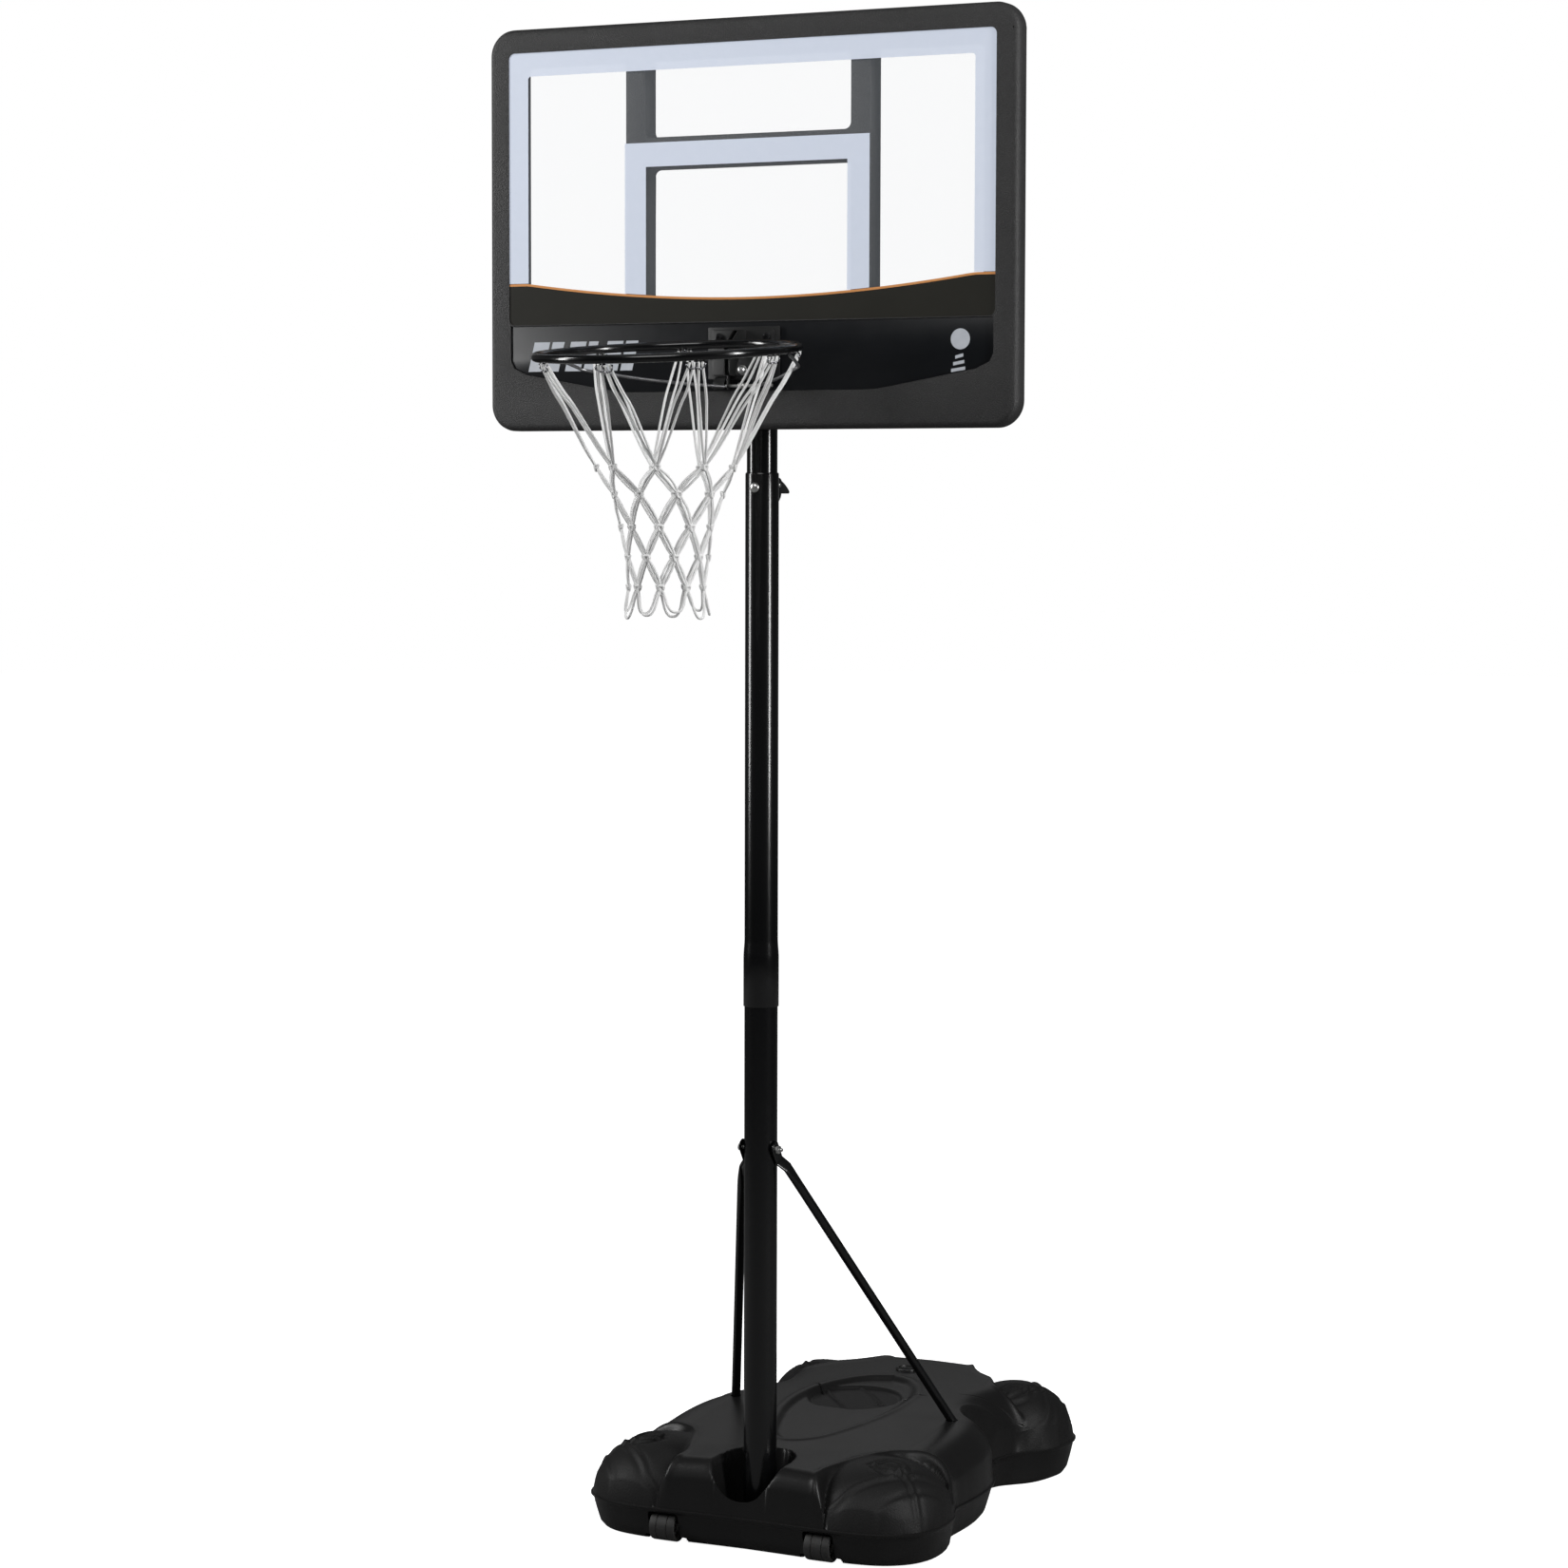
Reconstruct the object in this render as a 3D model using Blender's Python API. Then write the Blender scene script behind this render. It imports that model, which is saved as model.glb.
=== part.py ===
"""Portable basketball hoop: ballast tank on rollers, three-piece telescoping pole, board, flex rim and net.

World frame in metres, +Z up. The origin is on the floor under the pole axis, the ring is towards -Y.
"""

import math

import bmesh
import bpy
from mathutils import Matrix, Vector

GAP = 0.0003

# Ballast tank
FLANGE_Z = 0.065
TANK_CENTRE_Y = 0.385
TANK_STEPS = 72
CORE_HALF_WIDTH = 0.266
CORE_HALF_DEPTH = 0.478
CORE_HEIGHT_FRONT = 0.110
CORE_HEIGHT_REAR = 0.130
CORE_POWER = 3.5
SHOULDER_POWER = 10
BLEND_POWER = 6
OUTLINE_POWER = 18
POCKET_X, POCKET_Y = 0.275, 0.555
POCKET_WIDE, POCKET_LONG, POCKET_SHARE = 0.060, 0.080, 0.85
EMBLEM_Y, EMBLEM_WIDE, EMBLEM_LONG, EMBLEM_DEPTH = 0.40, 0.105, 0.110, 0.012
FRONT_LOBE = (0.232, 0.050, 0.136, 0.147, 0.115)
REAR_LOBE = (0.215, 0.745, 0.122, 0.130, 0.118)
SIDE_BULGE = (0.210, 0.300, 0.125, 0.160, 0.132)
WELL_FLOOR_Z = 0.040
WELL_RADIUS = 0.082
FILL_Y = 0.685
FILL_RADIUS = 0.017
FILL_DEPTH = 0.040

# Rollers
WHEEL_X = 0.165
WHEEL_Y = -0.069
WHEEL_Z = 0.030
WHEEL_RADIUS = 0.0285
WHEEL_WIDTH = 0.054
AXLE_RADIUS = 0.004
AXLE_LENGTH = 0.082

# Pole
LOWER_RADIUS = 0.03175
UPPER_RADIUS = 0.029
SWAGE_RADIUS = 0.0337
TUBE_WALL = 0.0016
LOWER_TOP_Z = 1.135
SWAGE_BOTTOM_Z = 1.040
SWAGE_TOP_Z = 1.140
MIDDLE_TOP_Z = 2.053
UPPER_BOTTOM_Z = 1.040
UPPER_TOP_Z = 2.365

# Struts from the pole down into the tank
STRUT_RADIUS = 0.009
STRUT_TOP = Vector((0.0352, -0.006, 0.767))
STRUT_ENTRY = Vector((0.239, 0.368, 0.188))
STRUT_SOCKET = 0.045

# Height lock on the middle tube
LOCK_Z = 2.025
LEVER_PIVOT = Vector((0, 0.056, 2.030))
CHEEK_X = 0.0072

# Board
BOARD_WIDTH = 1.102
BOARD_BOTTOM_Z = 2.133
BOARD_TOP_Z = 2.898
BOARD_FRONT_Y = -0.074
BOARD_BACK_Y = -0.034
WINDOW_WIDTH = 1.014
WINDOW_TOP_Z = 2.852
WINDOW_BOTTOM_Z = 2.335
WINDOW_LIP = 0.0255
SHEET_THICKNESS = 0.003
TARGET_OUTER_X = 0.255
TARGET_LINE = 0.045
BRACE_POST = 0.0405
BRACE_DEPTH = 0.046
BRACKET_BOLTS = (("bracket_bolt_low", 2.190), ("bracket_bolt_high", 2.300))
BRACE_BAR_Z = (2.624, 2.682)

# Rim
RING_RADIUS = 0.233
RING_TUBE = 0.008
RING_STEPS = 45
RING_CENTRE = Vector((0, -0.378, 2.263))
RING_DROOP = math.radians(3.75)
PIVOT = Vector((0, -0.0840, 2.2140))
PLATE_THICKNESS = 0.003
HOOKS = 9
BRACE_DROP = RING_TUBE + 0.0034

BLACK_PLASTIC = (0.020, 0.020, 0.022)


def clear_scene():
    for obj in list(bpy.data.objects):
        bpy.data.objects.remove(obj)


def material(name, colour, roughness, metallic=0.0):
    made = bpy.data.materials.new(name)
    made.use_nodes = True
    shader = made.node_tree.nodes["Principled BSDF"]
    shader.inputs["Base Color"].default_value = (*colour, 1)
    shader.inputs["Roughness"].default_value = roughness
    shader.inputs["Metallic"].default_value = metallic
    return made


def finish(name, bm, look, smooth_angle=35):
    """Makes the mesh an object, with rounded stretches smooth and corners sharp."""
    bmesh.ops.recalc_face_normals(bm, faces=bm.faces)
    mesh = bpy.data.meshes.new(name)
    bm.to_mesh(mesh)
    bm.free()
    obj = bpy.data.objects.new(name, mesh)
    bpy.context.scene.collection.objects.link(obj)
    if look:
        mesh.materials.append(look)
    mesh.shade_smooth()
    mesh.set_sharp_from_angle(angle=math.radians(smooth_angle))
    return obj


def loft(name, loops, look, closed=False):
    """Skins a row of loops that have the same number of points, with flat ends unless it closes on itself."""
    bm = bmesh.new()
    rows = [[bm.verts.new(point) for point in loop] for loop in loops]
    count = len(rows[0])
    pairs = list(zip(rows, rows[1:] + rows[:1])) if closed else list(zip(rows, rows[1:]))
    for one, two in pairs:
        for i in range(count):
            j = (i + 1) % count
            bm.faces.new((one[i], one[j], two[j], two[i]))
    if not closed:
        bm.faces.new(rows[0][::-1])
        bm.faces.new(rows[-1])
    return finish(name, bm, look)


def frame_along(direction, side=Vector((1, 0, 0))):
    """Two unit vectors square to the direction, the first as near to side as it can be."""
    forward = direction.normalized()
    first = (side - forward * side.dot(forward)).normalized()
    return first, forward.cross(first)


def ring_points(centre, first, second, radius, other, steps):
    turn = [math.tau * i / steps for i in range(steps)]
    return [centre + first * math.cos(a) * radius + second * math.sin(a) * other for a in turn]


def rod(name, start, end, radius, look, steps=20, end_radius=None):
    start, end = Vector(start), Vector(end)
    along = end - start
    side = Vector((0, 1, 0)) if abs(along.normalized().x) > 0.9 else Vector((1, 0, 0))
    first, second = frame_along(along, side)
    last = end_radius or radius
    loops = [
        ring_points(start, first, second, radius, radius, steps),
        ring_points(end, first, second, last, last, steps),
    ]
    return loft(name, loops, look)


def sweep(name, path, radius, look, steps=10, closed=False):
    """A round bar whose middle follows the path."""
    loops = []
    for i, point in enumerate(path):
        before = path[i - 1] if closed or i else point
        after = path[(i + 1) % len(path)] if closed or i + 1 < len(path) else point
        first, second = frame_along(after - before, Vector((0, 0, 1)))
        loops.append(ring_points(point, first, second, radius, radius, steps))
    return loft(name, loops, look, closed)


def turned(name, profile, centre, axis, look, steps=32):
    """Turns (radius, height) points round an axis. A profile that closes on itself makes a ring."""
    side = Vector((0, 1, 0)) if abs(axis.x) > 0.9 else Vector((1, 0, 0))
    first, second = frame_along(axis, side)
    loops = []
    for i in range(steps):
        a = math.tau * i / steps
        out = first * math.cos(a) + second * math.sin(a)
        loops.append([centre + out * r + axis * h for r, h in profile])
    bm = bmesh.new()
    rows = [[bm.verts.new(point) for point in loop] for loop in loops]
    count = len(profile)
    for one, two in zip(rows, rows[1:] + rows[:1]):
        for i in range(count):
            j = (i + 1) % count
            bm.faces.new((one[i], one[j], two[j], two[i]))
    return finish(name, bm, look)


def box(name, low, high, look, bevel=0.0):
    bm = bmesh.new()
    bmesh.ops.create_cube(bm, size=1)
    low, high = Vector(low), Vector(high)
    bmesh.ops.scale(bm, vec=high - low, verts=bm.verts)
    bmesh.ops.translate(bm, vec=(low + high) / 2, verts=bm.verts)
    if bevel:
        bmesh.ops.bevel(bm, geom=bm.edges, offset=bevel, segments=2, profile=0.5, affect="EDGES")
    return finish(name, bm, look)


def rounded(low, high, radius, steps=5):
    """A rounded rectangle in two coordinates, as a list of (a, b) points."""
    points = []
    corners = ((high[0], high[1], 0), (low[0], high[1], 1), (low[0], low[1], 2), (high[0], low[1], 3))
    for a, b, quarter in corners:
        centre_a = a - radius if a == high[0] else a + radius
        centre_b = b - radius if b == high[1] else b + radius
        for i in range(steps + 1):
            turn = math.pi / 2 * (quarter + i / steps)
            points.append((centre_a + radius * math.cos(turn), centre_b + radius * math.sin(turn)))
    return points


def upright(name, outline, front, back, look):
    """Extrudes an outline given as (x, z) from front to back along Y."""
    return loft(name, [[Vector((x, y, z)) for x, z in outline] for y in (front, back)], look)


def sideways(name, outline, left, right, look):
    """Extrudes an outline given as (y, z) from left to right along X."""
    return loft(name, [[Vector((x, y, z)) for y, z in outline] for x in (left, right)], look)


def combine(obj, other, operation="DIFFERENCE"):
    """A live Boolean. The other object stays as a wire guide."""
    step = obj.modifiers.new(other.name, "BOOLEAN")
    step.operation = operation
    step.solver = "EXACT"
    step.object = other
    other.hide_render = True
    other.display_type = "WIRE"
    return obj


def tube(name, radius, wall, low, high, look, centre=(0, 0), steps=32):
    profile = [(radius, low), (radius, high), (radius - wall, high), (radius - wall, low)]
    return turned(name, profile, Vector((*centre, 0)), Vector((0, 0, 1)), look, steps)


# ---------------------------------------------------------------- ballast tank


def mound(x, y, shape):
    """Height over the flange of one rounded mound, mirrored to both sides."""
    cx, cy, rx, ry, height = shape
    d = 1 - ((abs(x) - cx) / rx) ** 2 - ((y - cy) / ry) ** 2
    return height * math.sqrt(d) if d > 0 else 0.0


def core_height(x, y):
    wide, deep = abs(x / CORE_HALF_WIDTH), abs((y - TANK_CENTRE_Y) / CORE_HALF_DEPTH)
    s = (wide**CORE_POWER + deep**CORE_POWER) ** (1 / CORE_POWER)
    if s >= 1:
        return 0.0
    rise = min(max(y / 0.5, 0), 1)
    crest = CORE_HEIGHT_FRONT + (CORE_HEIGHT_REAR - CORE_HEIGHT_FRONT) * rise * rise * (3 - 2 * rise)
    height = crest * math.sqrt(1 - s**SHOULDER_POWER)
    pocket = ((abs(x) - POCKET_X) / POCKET_WIDE) ** 2 + ((y - POCKET_Y) / POCKET_LONG) ** 2
    height *= 1 - POCKET_SHARE * math.exp(-(pocket**2))
    emblem = (x / EMBLEM_WIDE) ** 2 + ((y - EMBLEM_Y) / EMBLEM_LONG) ** 2
    return height - EMBLEM_DEPTH * math.exp(-(emblem**3))


def tank_height(x, y):
    parts = [mound(x, y, shape) for shape in (FRONT_LOBE, REAR_LOBE, SIDE_BULGE)]
    parts.append(max(core_height(x, y), 0))
    return sum(part**BLEND_POWER for part in parts) ** (1 / BLEND_POWER)


def tank_reach(a):
    """How far the flange lies from the tank's centre in the direction a."""
    dx, dy = math.cos(a), math.sin(a)
    wide, deep = abs(dx / CORE_HALF_WIDTH), abs(dy / CORE_HALF_DEPTH)
    reaches = [(wide**CORE_POWER + deep**CORE_POWER) ** (-1 / CORE_POWER)]
    for cx, cy, rx, ry, _ in (FRONT_LOBE, REAR_LOBE, SIDE_BULGE):
        ox, oy, vx, vy = -cx / rx, (TANK_CENTRE_Y - cy) / ry, abs(dx) / rx, dy / ry
        b, c = ox * vx + oy * vy, ox * ox + oy * oy - 1
        inside = b * b - (vx * vx + vy * vy) * c
        if inside > 0:
            reaches.append(max((-b + math.sqrt(inside)) / (vx * vx + vy * vy), 0))
    return sum(reach**OUTLINE_POWER for reach in reaches) ** (1 / OUTLINE_POWER)


def build_tank(look):
    turns = [math.tau * i / TANK_STEPS for i in range(TANK_STEPS)]
    loops = []

    def loop(share, inset, height):
        row = []
        for a in turns:
            r = (tank_reach(a) - inset) * share
            x, y = r * math.cos(a), TANK_CENTRE_Y + r * math.sin(a)
            z = FLANGE_Z + 0.003 + tank_height(x, y) if height is None else height
            row.append(Vector((x, y, z)))
        loops.append(row)

    for share in (0.06, 0.24, 0.40, 0.53, 0.64, 0.73, 0.81, 0.87, 0.92, 0.96, 0.985, 1):
        loop(share, 0.004, None)
    loop(1, 0.0, FLANGE_Z)
    loop(1, 0.004, FLANGE_Z - 0.003)
    loop(1, 0.008, FLANGE_Z - 0.005)
    loop(1, 0.014, 0.030)
    loop(1, 0.024, 0.010)
    loop(1, 0.045, 0.0)
    tank = loft("base_tank", loops, look)
    well = [
        (0.0001, WELL_FLOOR_Z), (0.040, WELL_FLOOR_Z), (WELL_RADIUS, 0.140), (WELL_RADIUS + 0.02, 0.30),
        (0.0001, 0.30),
    ]
    combine(tank, turned("cut_well", well, Vector((0, 0, 0)), Vector((0, 0, 1)), None))
    fill_top = FLANGE_Z + 0.003 + tank_height(0, FILL_Y)
    combine(tank, rod("cut_fill", (0, FILL_Y, fill_top - FILL_DEPTH), (0, FILL_Y, 0.3), FILL_RADIUS, None))
    for side in (-1, 1):
        x = WHEEL_X * side
        half = WHEEL_WIDTH / 2 + 0.005
        notch = box(f"cut_wheel_{side}", (x - half, -0.13, -0.02), (x + half, -0.034, 0.0605), None)
        combine(tank, notch)
        reach = AXLE_LENGTH / 2 + GAP
        left, right = (x - reach, WHEEL_Y, WHEEL_Z), (x + reach, WHEEL_Y, WHEEL_Z)
        combine(tank, rod(f"cut_axle_{side}", left, right, AXLE_RADIUS + GAP, None))
        top, entry = mirrored(STRUT_TOP, side), mirrored(STRUT_ENTRY, side)
        down = (entry - top).normalized()
        mouth, end = entry - down * 0.08, entry + down * (STRUT_SOCKET + GAP)
        combine(tank, rod(f"cut_socket_{side}", mouth, end, STRUT_RADIUS + 0.0006, None))
    return tank


def mirrored(point, side):
    return Vector((point.x * side, point.y, point.z))


def build_fill_cap(look):
    top = FLANGE_Z + 0.003 + tank_height(0, FILL_Y)
    profile = [
        (0.0001, top - 0.030), (FILL_RADIUS - 0.003, top - 0.030), (FILL_RADIUS - 0.0015, top - 0.026),
        (FILL_RADIUS - 0.0006, top + 0.0012), (0.024, top + 0.0012), (0.024, top + 0.007), (0.021, top + 0.009),
        (0.0001, top + 0.009),
    ]
    return turned("fill_cap", profile, Vector((0, FILL_Y, 0)), Vector((0, 0, 1)), look, 24)


def build_wheel(name, side, look):
    half, x = WHEEL_WIDTH / 2, WHEEL_X * side
    bore = AXLE_RADIUS + GAP
    profile = [
        (bore, -half - 0.002), (0.012, -half - 0.002), (0.012, -half), (WHEEL_RADIUS - 0.003, -half),
        (WHEEL_RADIUS, -half + 0.003), (WHEEL_RADIUS, half - 0.003), (WHEEL_RADIUS - 0.003, half),
        (0.012, half), (0.012, half + 0.002), (bore, half + 0.002),
    ]
    return turned(name, profile, Vector((x, WHEEL_Y, WHEEL_Z)), Vector((1, 0, 0)), look, 24)


# ------------------------------------------------------------------------ pole


def build_pole(black, steel, plastic):
    axis = Vector((0, 0, 1))
    lower = tube("pole_lower", LOWER_RADIUS, TUBE_WALL, WELL_FLOOR_Z + 0.004, LOWER_TOP_Z, black)
    bolt_y, bolt_z = STRUT_TOP.y, STRUT_TOP.z
    combine(lower, rod("cut_strut_bolt", (-0.05, bolt_y, bolt_z), (0.05, bolt_y, bolt_z), 0.004 + GAP, None))
    inner = LOWER_RADIUS - TUBE_WALL
    profile = [
        (SWAGE_RADIUS, SWAGE_BOTTOM_Z), (SWAGE_RADIUS, SWAGE_TOP_Z), (LOWER_RADIUS, SWAGE_TOP_Z + 0.025),
        (LOWER_RADIUS, MIDDLE_TOP_Z), (inner, MIDDLE_TOP_Z), (inner, SWAGE_TOP_Z + 0.027),
        (LOWER_RADIUS + GAP, SWAGE_TOP_Z), (LOWER_RADIUS + GAP, SWAGE_BOTTOM_Z),
    ]
    middle = turned("pole_middle", profile, Vector((0, 0, 0)), axis, black)
    combine(middle, rod("cut_lock_bolt", (0, -0.05, LOCK_Z), (0, 0, LOCK_Z), 0.004 + GAP, None))
    combine(middle, box("cut_lock_slot", (-0.0065, 0.02, LOCK_Z - 0.011), (0.0065, 0.05, LOCK_Z + 0.017), None))
    floor = WELL_FLOOR_Z
    foot = [
        (0.0001, floor + GAP), (LOWER_RADIUS, floor + GAP), (LOWER_RADIUS, floor + 0.0037),
        (inner - GAP, floor + 0.0037), (inner - 0.001, floor + 0.022), (0.0001, floor + 0.022),
    ]
    turned("pole_foot_plug", foot, Vector((0, 0, 0)), axis, plastic)
    upper = tube("pole_upper", UPPER_RADIUS, TUBE_WALL, UPPER_BOTTOM_Z, UPPER_TOP_Z, black)
    for name, z in BRACKET_BOLTS:
        combine(upper, rod(f"cut_{name}", (-0.05, 0, z), (0.05, 0, z), 0.004 + GAP, None))
    hole = UPPER_RADIUS - TUBE_WALL - GAP
    cap = [
        (0.0001, UPPER_TOP_Z - 0.015), (hole, UPPER_TOP_Z - 0.015), (hole, UPPER_TOP_Z + GAP),
        (UPPER_RADIUS, UPPER_TOP_Z + GAP), (UPPER_RADIUS - 0.001, UPPER_TOP_Z + 0.004),
        (0.0001, UPPER_TOP_Z + 0.004),
    ]
    turned("pole_top_cap", cap, Vector((0, 0, 0)), axis, plastic)
    dome = [(0.0001, 0.0065), (0.0034, 0.0063), (0.0070, 0.0048), (0.0095, 0.0024), (0.0100, 0.0004),
            (0.0038, 0.0004), (0.0038, -0.0021), (0.0001, -0.0021)]
    turned("lock_rivet", dome, Vector((0, -LOWER_RADIUS, LOCK_Z)), Vector((0, -1, 0)), steel, 20)


# ---------------------------------------------------------------------- struts


def build_strut(name, side, look):
    """A tube whose top is pressed flat against the pole and whose foot is open in the tank's socket."""
    top, entry = mirrored(STRUT_TOP, side), mirrored(STRUT_ENTRY, side)
    down = (entry - top).normalized()
    foot = entry + down * STRUT_SOCKET
    flat_first = Vector((1, 0, 0))
    flat_down = Vector((0, down.y, down.z)).normalized()
    loops = []
    stations = (
        (-0.015, 0.0016, 0.0060), (-0.011, 0.0016, 0.0110), (0.0, 0.0016, 0.0135), (0.016, 0.0016, 0.0135),
        (0.030, 0.0022, 0.0132),
    )
    for along, thick, wide in stations:
        first, second = frame_along(flat_down, flat_first)
        loops.append(ring_points(top + flat_down * along, first, second, thick, wide, 16))
    for reach, share in ((0.070, 0.6), (0.100, 1.0)):
        first, second = frame_along(down, flat_first)
        thick = 0.0022 + (STRUT_RADIUS - 0.0022) * share
        wide = 0.0132 + (STRUT_RADIUS - 0.0132) * share
        loops.append(ring_points(top + down * reach, first, second, thick, wide, 16))
    first, second = frame_along(down, flat_first)
    loops.append(ring_points(foot, first, second, STRUT_RADIUS, STRUT_RADIUS, 16))
    strut = loft(name, loops, look)
    bore = rod(f"cut_bore_{name}", top + down * 0.13, foot + down * 0.02, STRUT_RADIUS - 0.0013, None, 16)
    combine(strut, bore)
    y, z = STRUT_TOP.y, STRUT_TOP.z
    combine(strut, rod(f"cut_eye_{name}", (-0.06, y, z), (0.06, y, z), 0.004 + GAP, None))
    return strut


def build_strut_bolt(steel):
    y, z = STRUT_TOP.y, STRUT_TOP.z
    outer = STRUT_TOP.x + 0.0016 + GAP
    shank = [
        (0.0001, -outer - 0.0065), (0.0075, -outer - 0.0065), (0.0085, -outer - 0.0055), (0.0085, -outer),
        (0.004, -outer), (0.004, outer + 0.0125), (0.0001, outer + 0.0125),
    ]
    turned("strut_bolt", shank, Vector((0, y, z)), Vector((1, 0, 0)), steel, 16)
    nut = [(0.0049, outer), (0.0085, outer), (0.0085, outer + 0.0065), (0.0049, outer + 0.0065)]
    turned("strut_nut", nut, Vector((0, y, z)), Vector((1, 0, 0)), steel, 6)


# ----------------------------------------------------------------- height lock


def build_height_lock(black, steel, plastic):
    """A bracket on the back of the middle tube carries a cam lever that squeezes a pad on the upper tube."""
    y, z = LEVER_PIVOT.y, LEVER_PIVOT.z
    face = LOWER_RADIUS + GAP
    outline = [
        (face, 1.995), (face + 0.016, 1.995), (y + 0.010, 2.018), (y + 0.010, 2.038), (y, 2.044), (face, 2.044),
    ]
    for side, name in ((-1, "lock_cheek_left"), (1, "lock_cheek_right")):
        near, far = sorted((CHEEK_X * side, (CHEEK_X + 0.0025) * side))
        cheek = sideways(name, outline, near, far, black)
        combine(cheek, rod(f"cut_{name}", (-0.03, y, z), (0.03, y, z), 0.003 + GAP, None, 12))
    rod("lever_pin", (-CHEEK_X - 0.004, y, z), (CHEEK_X + 0.004, y, z), 0.003, steel, 12)
    handle = [
        (y - 0.009, z - 0.0020), (y - 0.007, z - 0.0080), (y, z - 0.0125), (y + 0.015, z - 0.0150),
        (y + 0.046, z - 0.0160), (y + 0.050, z - 0.0140), (y + 0.048, z - 0.0100), (y + 0.036, z - 0.0020),
        (y + 0.020, z + 0.0060), (y + 0.006, z + 0.0115), (y - 0.006, z + 0.0080),
    ]
    half = CHEEK_X - 0.0007
    lever = sideways("height_lever", handle, -half, half, plastic)
    combine(lever, rod("cut_lever", (-0.03, y, z), (0.03, y, z), 0.003 + GAP, None, 12))
    low, high = (-0.006, UPPER_RADIUS + 0.0006, LOCK_Z - 0.010), (0.006, y - 0.0140, LOCK_Z + 0.016)
    box("brake_pad", low, high, plastic)


# ----------------------------------------------------------------------- board


def build_board(look, clear, black, steel):
    half = BOARD_WIDTH / 2
    loops = []
    front, back = BOARD_FRONT_Y, BOARD_BACK_Y
    for y, inset in ((front, 0.005), (front + 0.005, 0), (back - 0.005, 0), (back, 0.005)):
        low, high = (-half + inset, BOARD_BOTTOM_Z + inset), (half - inset, BOARD_TOP_Z - inset)
        outline = rounded(low, high, 0.050 - inset, 6)
        loops.append([Vector((x, y, z)) for x, z in outline])
    frame = loft("board_frame", loops, look)
    side = WINDOW_WIDTH / 2
    sheet_front = BOARD_FRONT_Y + 0.0015
    sheet_back = sheet_front + SHEET_THICKNESS
    rebate = rounded((-side, WINDOW_BOTTOM_Z), (side, WINDOW_TOP_Z), 0.012, 3)
    combine(frame, upright("cut_rebate", rebate, BOARD_FRONT_Y - 0.02, sheet_back + GAP, None))
    low, high = (-side + WINDOW_LIP, WINDOW_BOTTOM_Z + 0.012), (side - WINDOW_LIP, WINDOW_TOP_Z - WINDOW_LIP)
    window = rounded(low, high, 0.012, 3)
    combine(frame, upright("cut_window", window, BOARD_FRONT_Y - 0.03, BOARD_BACK_Y + 0.02, None))
    recess = [
        (-0.497, 2.323), (-0.497, 2.262), (-0.470, 2.240), (-0.275, 2.206), (-0.255, 2.204),
        (0.255, 2.204), (0.275, 2.206), (0.470, 2.240), (0.497, 2.262), (0.497, 2.323),
    ]
    combine(frame, upright("cut_recess", recess[::-1], BOARD_FRONT_Y - 0.02, BOARD_FRONT_Y + 0.003, None))
    sheet = rounded((-side + GAP, WINDOW_BOTTOM_Z + GAP), (side - GAP, WINDOW_TOP_Z - GAP), 0.012, 3)
    upright("clear_sheet", sheet, sheet_front, sheet_back, clear)
    build_rear_brace(look, sheet_back + 2 * GAP)
    build_pole_bracket(black, steel)
    return frame


def build_rear_brace(look, front):
    """An H behind the clear sheet: two posts on the target's sides and a bar across its top."""
    back = front + BRACE_DEPTH
    low, high = WINDOW_BOTTOM_Z + 0.0125, WINDOW_TOP_Z - WINDOW_LIP - 0.0005
    outer, inner = TARGET_OUTER_X, TARGET_OUTER_X - BRACE_POST
    brace = upright("rear_brace", rounded((-outer, low), (outer, high), 0.004, 2), front, back, look)
    bar_low, bar_high = BRACE_BAR_Z
    below = rounded((-inner, low - 0.05), (inner, bar_low), 0.013, 3)
    above = rounded((-inner, bar_high), (inner, high + 0.05), 0.013, 3)
    combine(brace, upright("cut_below_bar", below, front - 0.02, back + 0.02, None))
    combine(brace, upright("cut_above_bar", above, front - 0.02, back + 0.02, None))
    return brace


def build_pole_bracket(black, steel):
    """A folded channel that holds the board on the upper tube, with two bolts across the tube."""
    front, web = BOARD_BACK_Y + GAP, BOARD_BACK_Y + 0.0035
    inside, outside = UPPER_RADIUS + GAP, UPPER_RADIUS + 0.0033
    outline = [
        (-0.062, front), (0.062, front), (0.062, web), (outside, web), (outside, 0.022), (inside, 0.022),
        (inside, web), (-inside, web), (-inside, 0.022), (-outside, 0.022), (-outside, web), (-0.062, web),
    ]
    loops = [[Vector((x, y, z)) for x, y in outline] for z in (2.165, 2.325)]
    bracket = loft("pole_bracket", loops, black)
    for name, z in BRACKET_BOLTS:
        combine(bracket, rod(f"cut_bracket_{name}", (-0.05, 0, z), (0.05, 0, z), 0.004 + GAP, None))
        head = outside + GAP
        shank = [(0.0001, -head - 0.006), (0.0075, -head - 0.006), (0.0075, -head), (0.004, -head),
                 (0.004, head + 0.011), (0.0001, head + 0.011)]
        turned(name, shank, Vector((0, 0, z)), Vector((1, 0, 0)), steel, 12)
        nut = [(0.0049, head), (0.0078, head), (0.0078, head + 0.0065), (0.0049, head + 0.0065)]
        turned(f"{name}_nut", nut, Vector((0, 0, z)), Vector((1, 0, 0)), steel, 6)


# ------------------------------------------------------------------------- rim


def on_ring(angle, radius=RING_RADIUS, drop=0.0):
    """A point on the drooping ring. The angle runs from the front, positive towards +X."""
    x, y = radius * math.sin(angle), -radius * math.cos(angle)
    flat = Vector((x, y, -drop))
    return RING_CENTRE + Matrix.Rotation(RING_DROOP, 4, "X") @ flat


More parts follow.
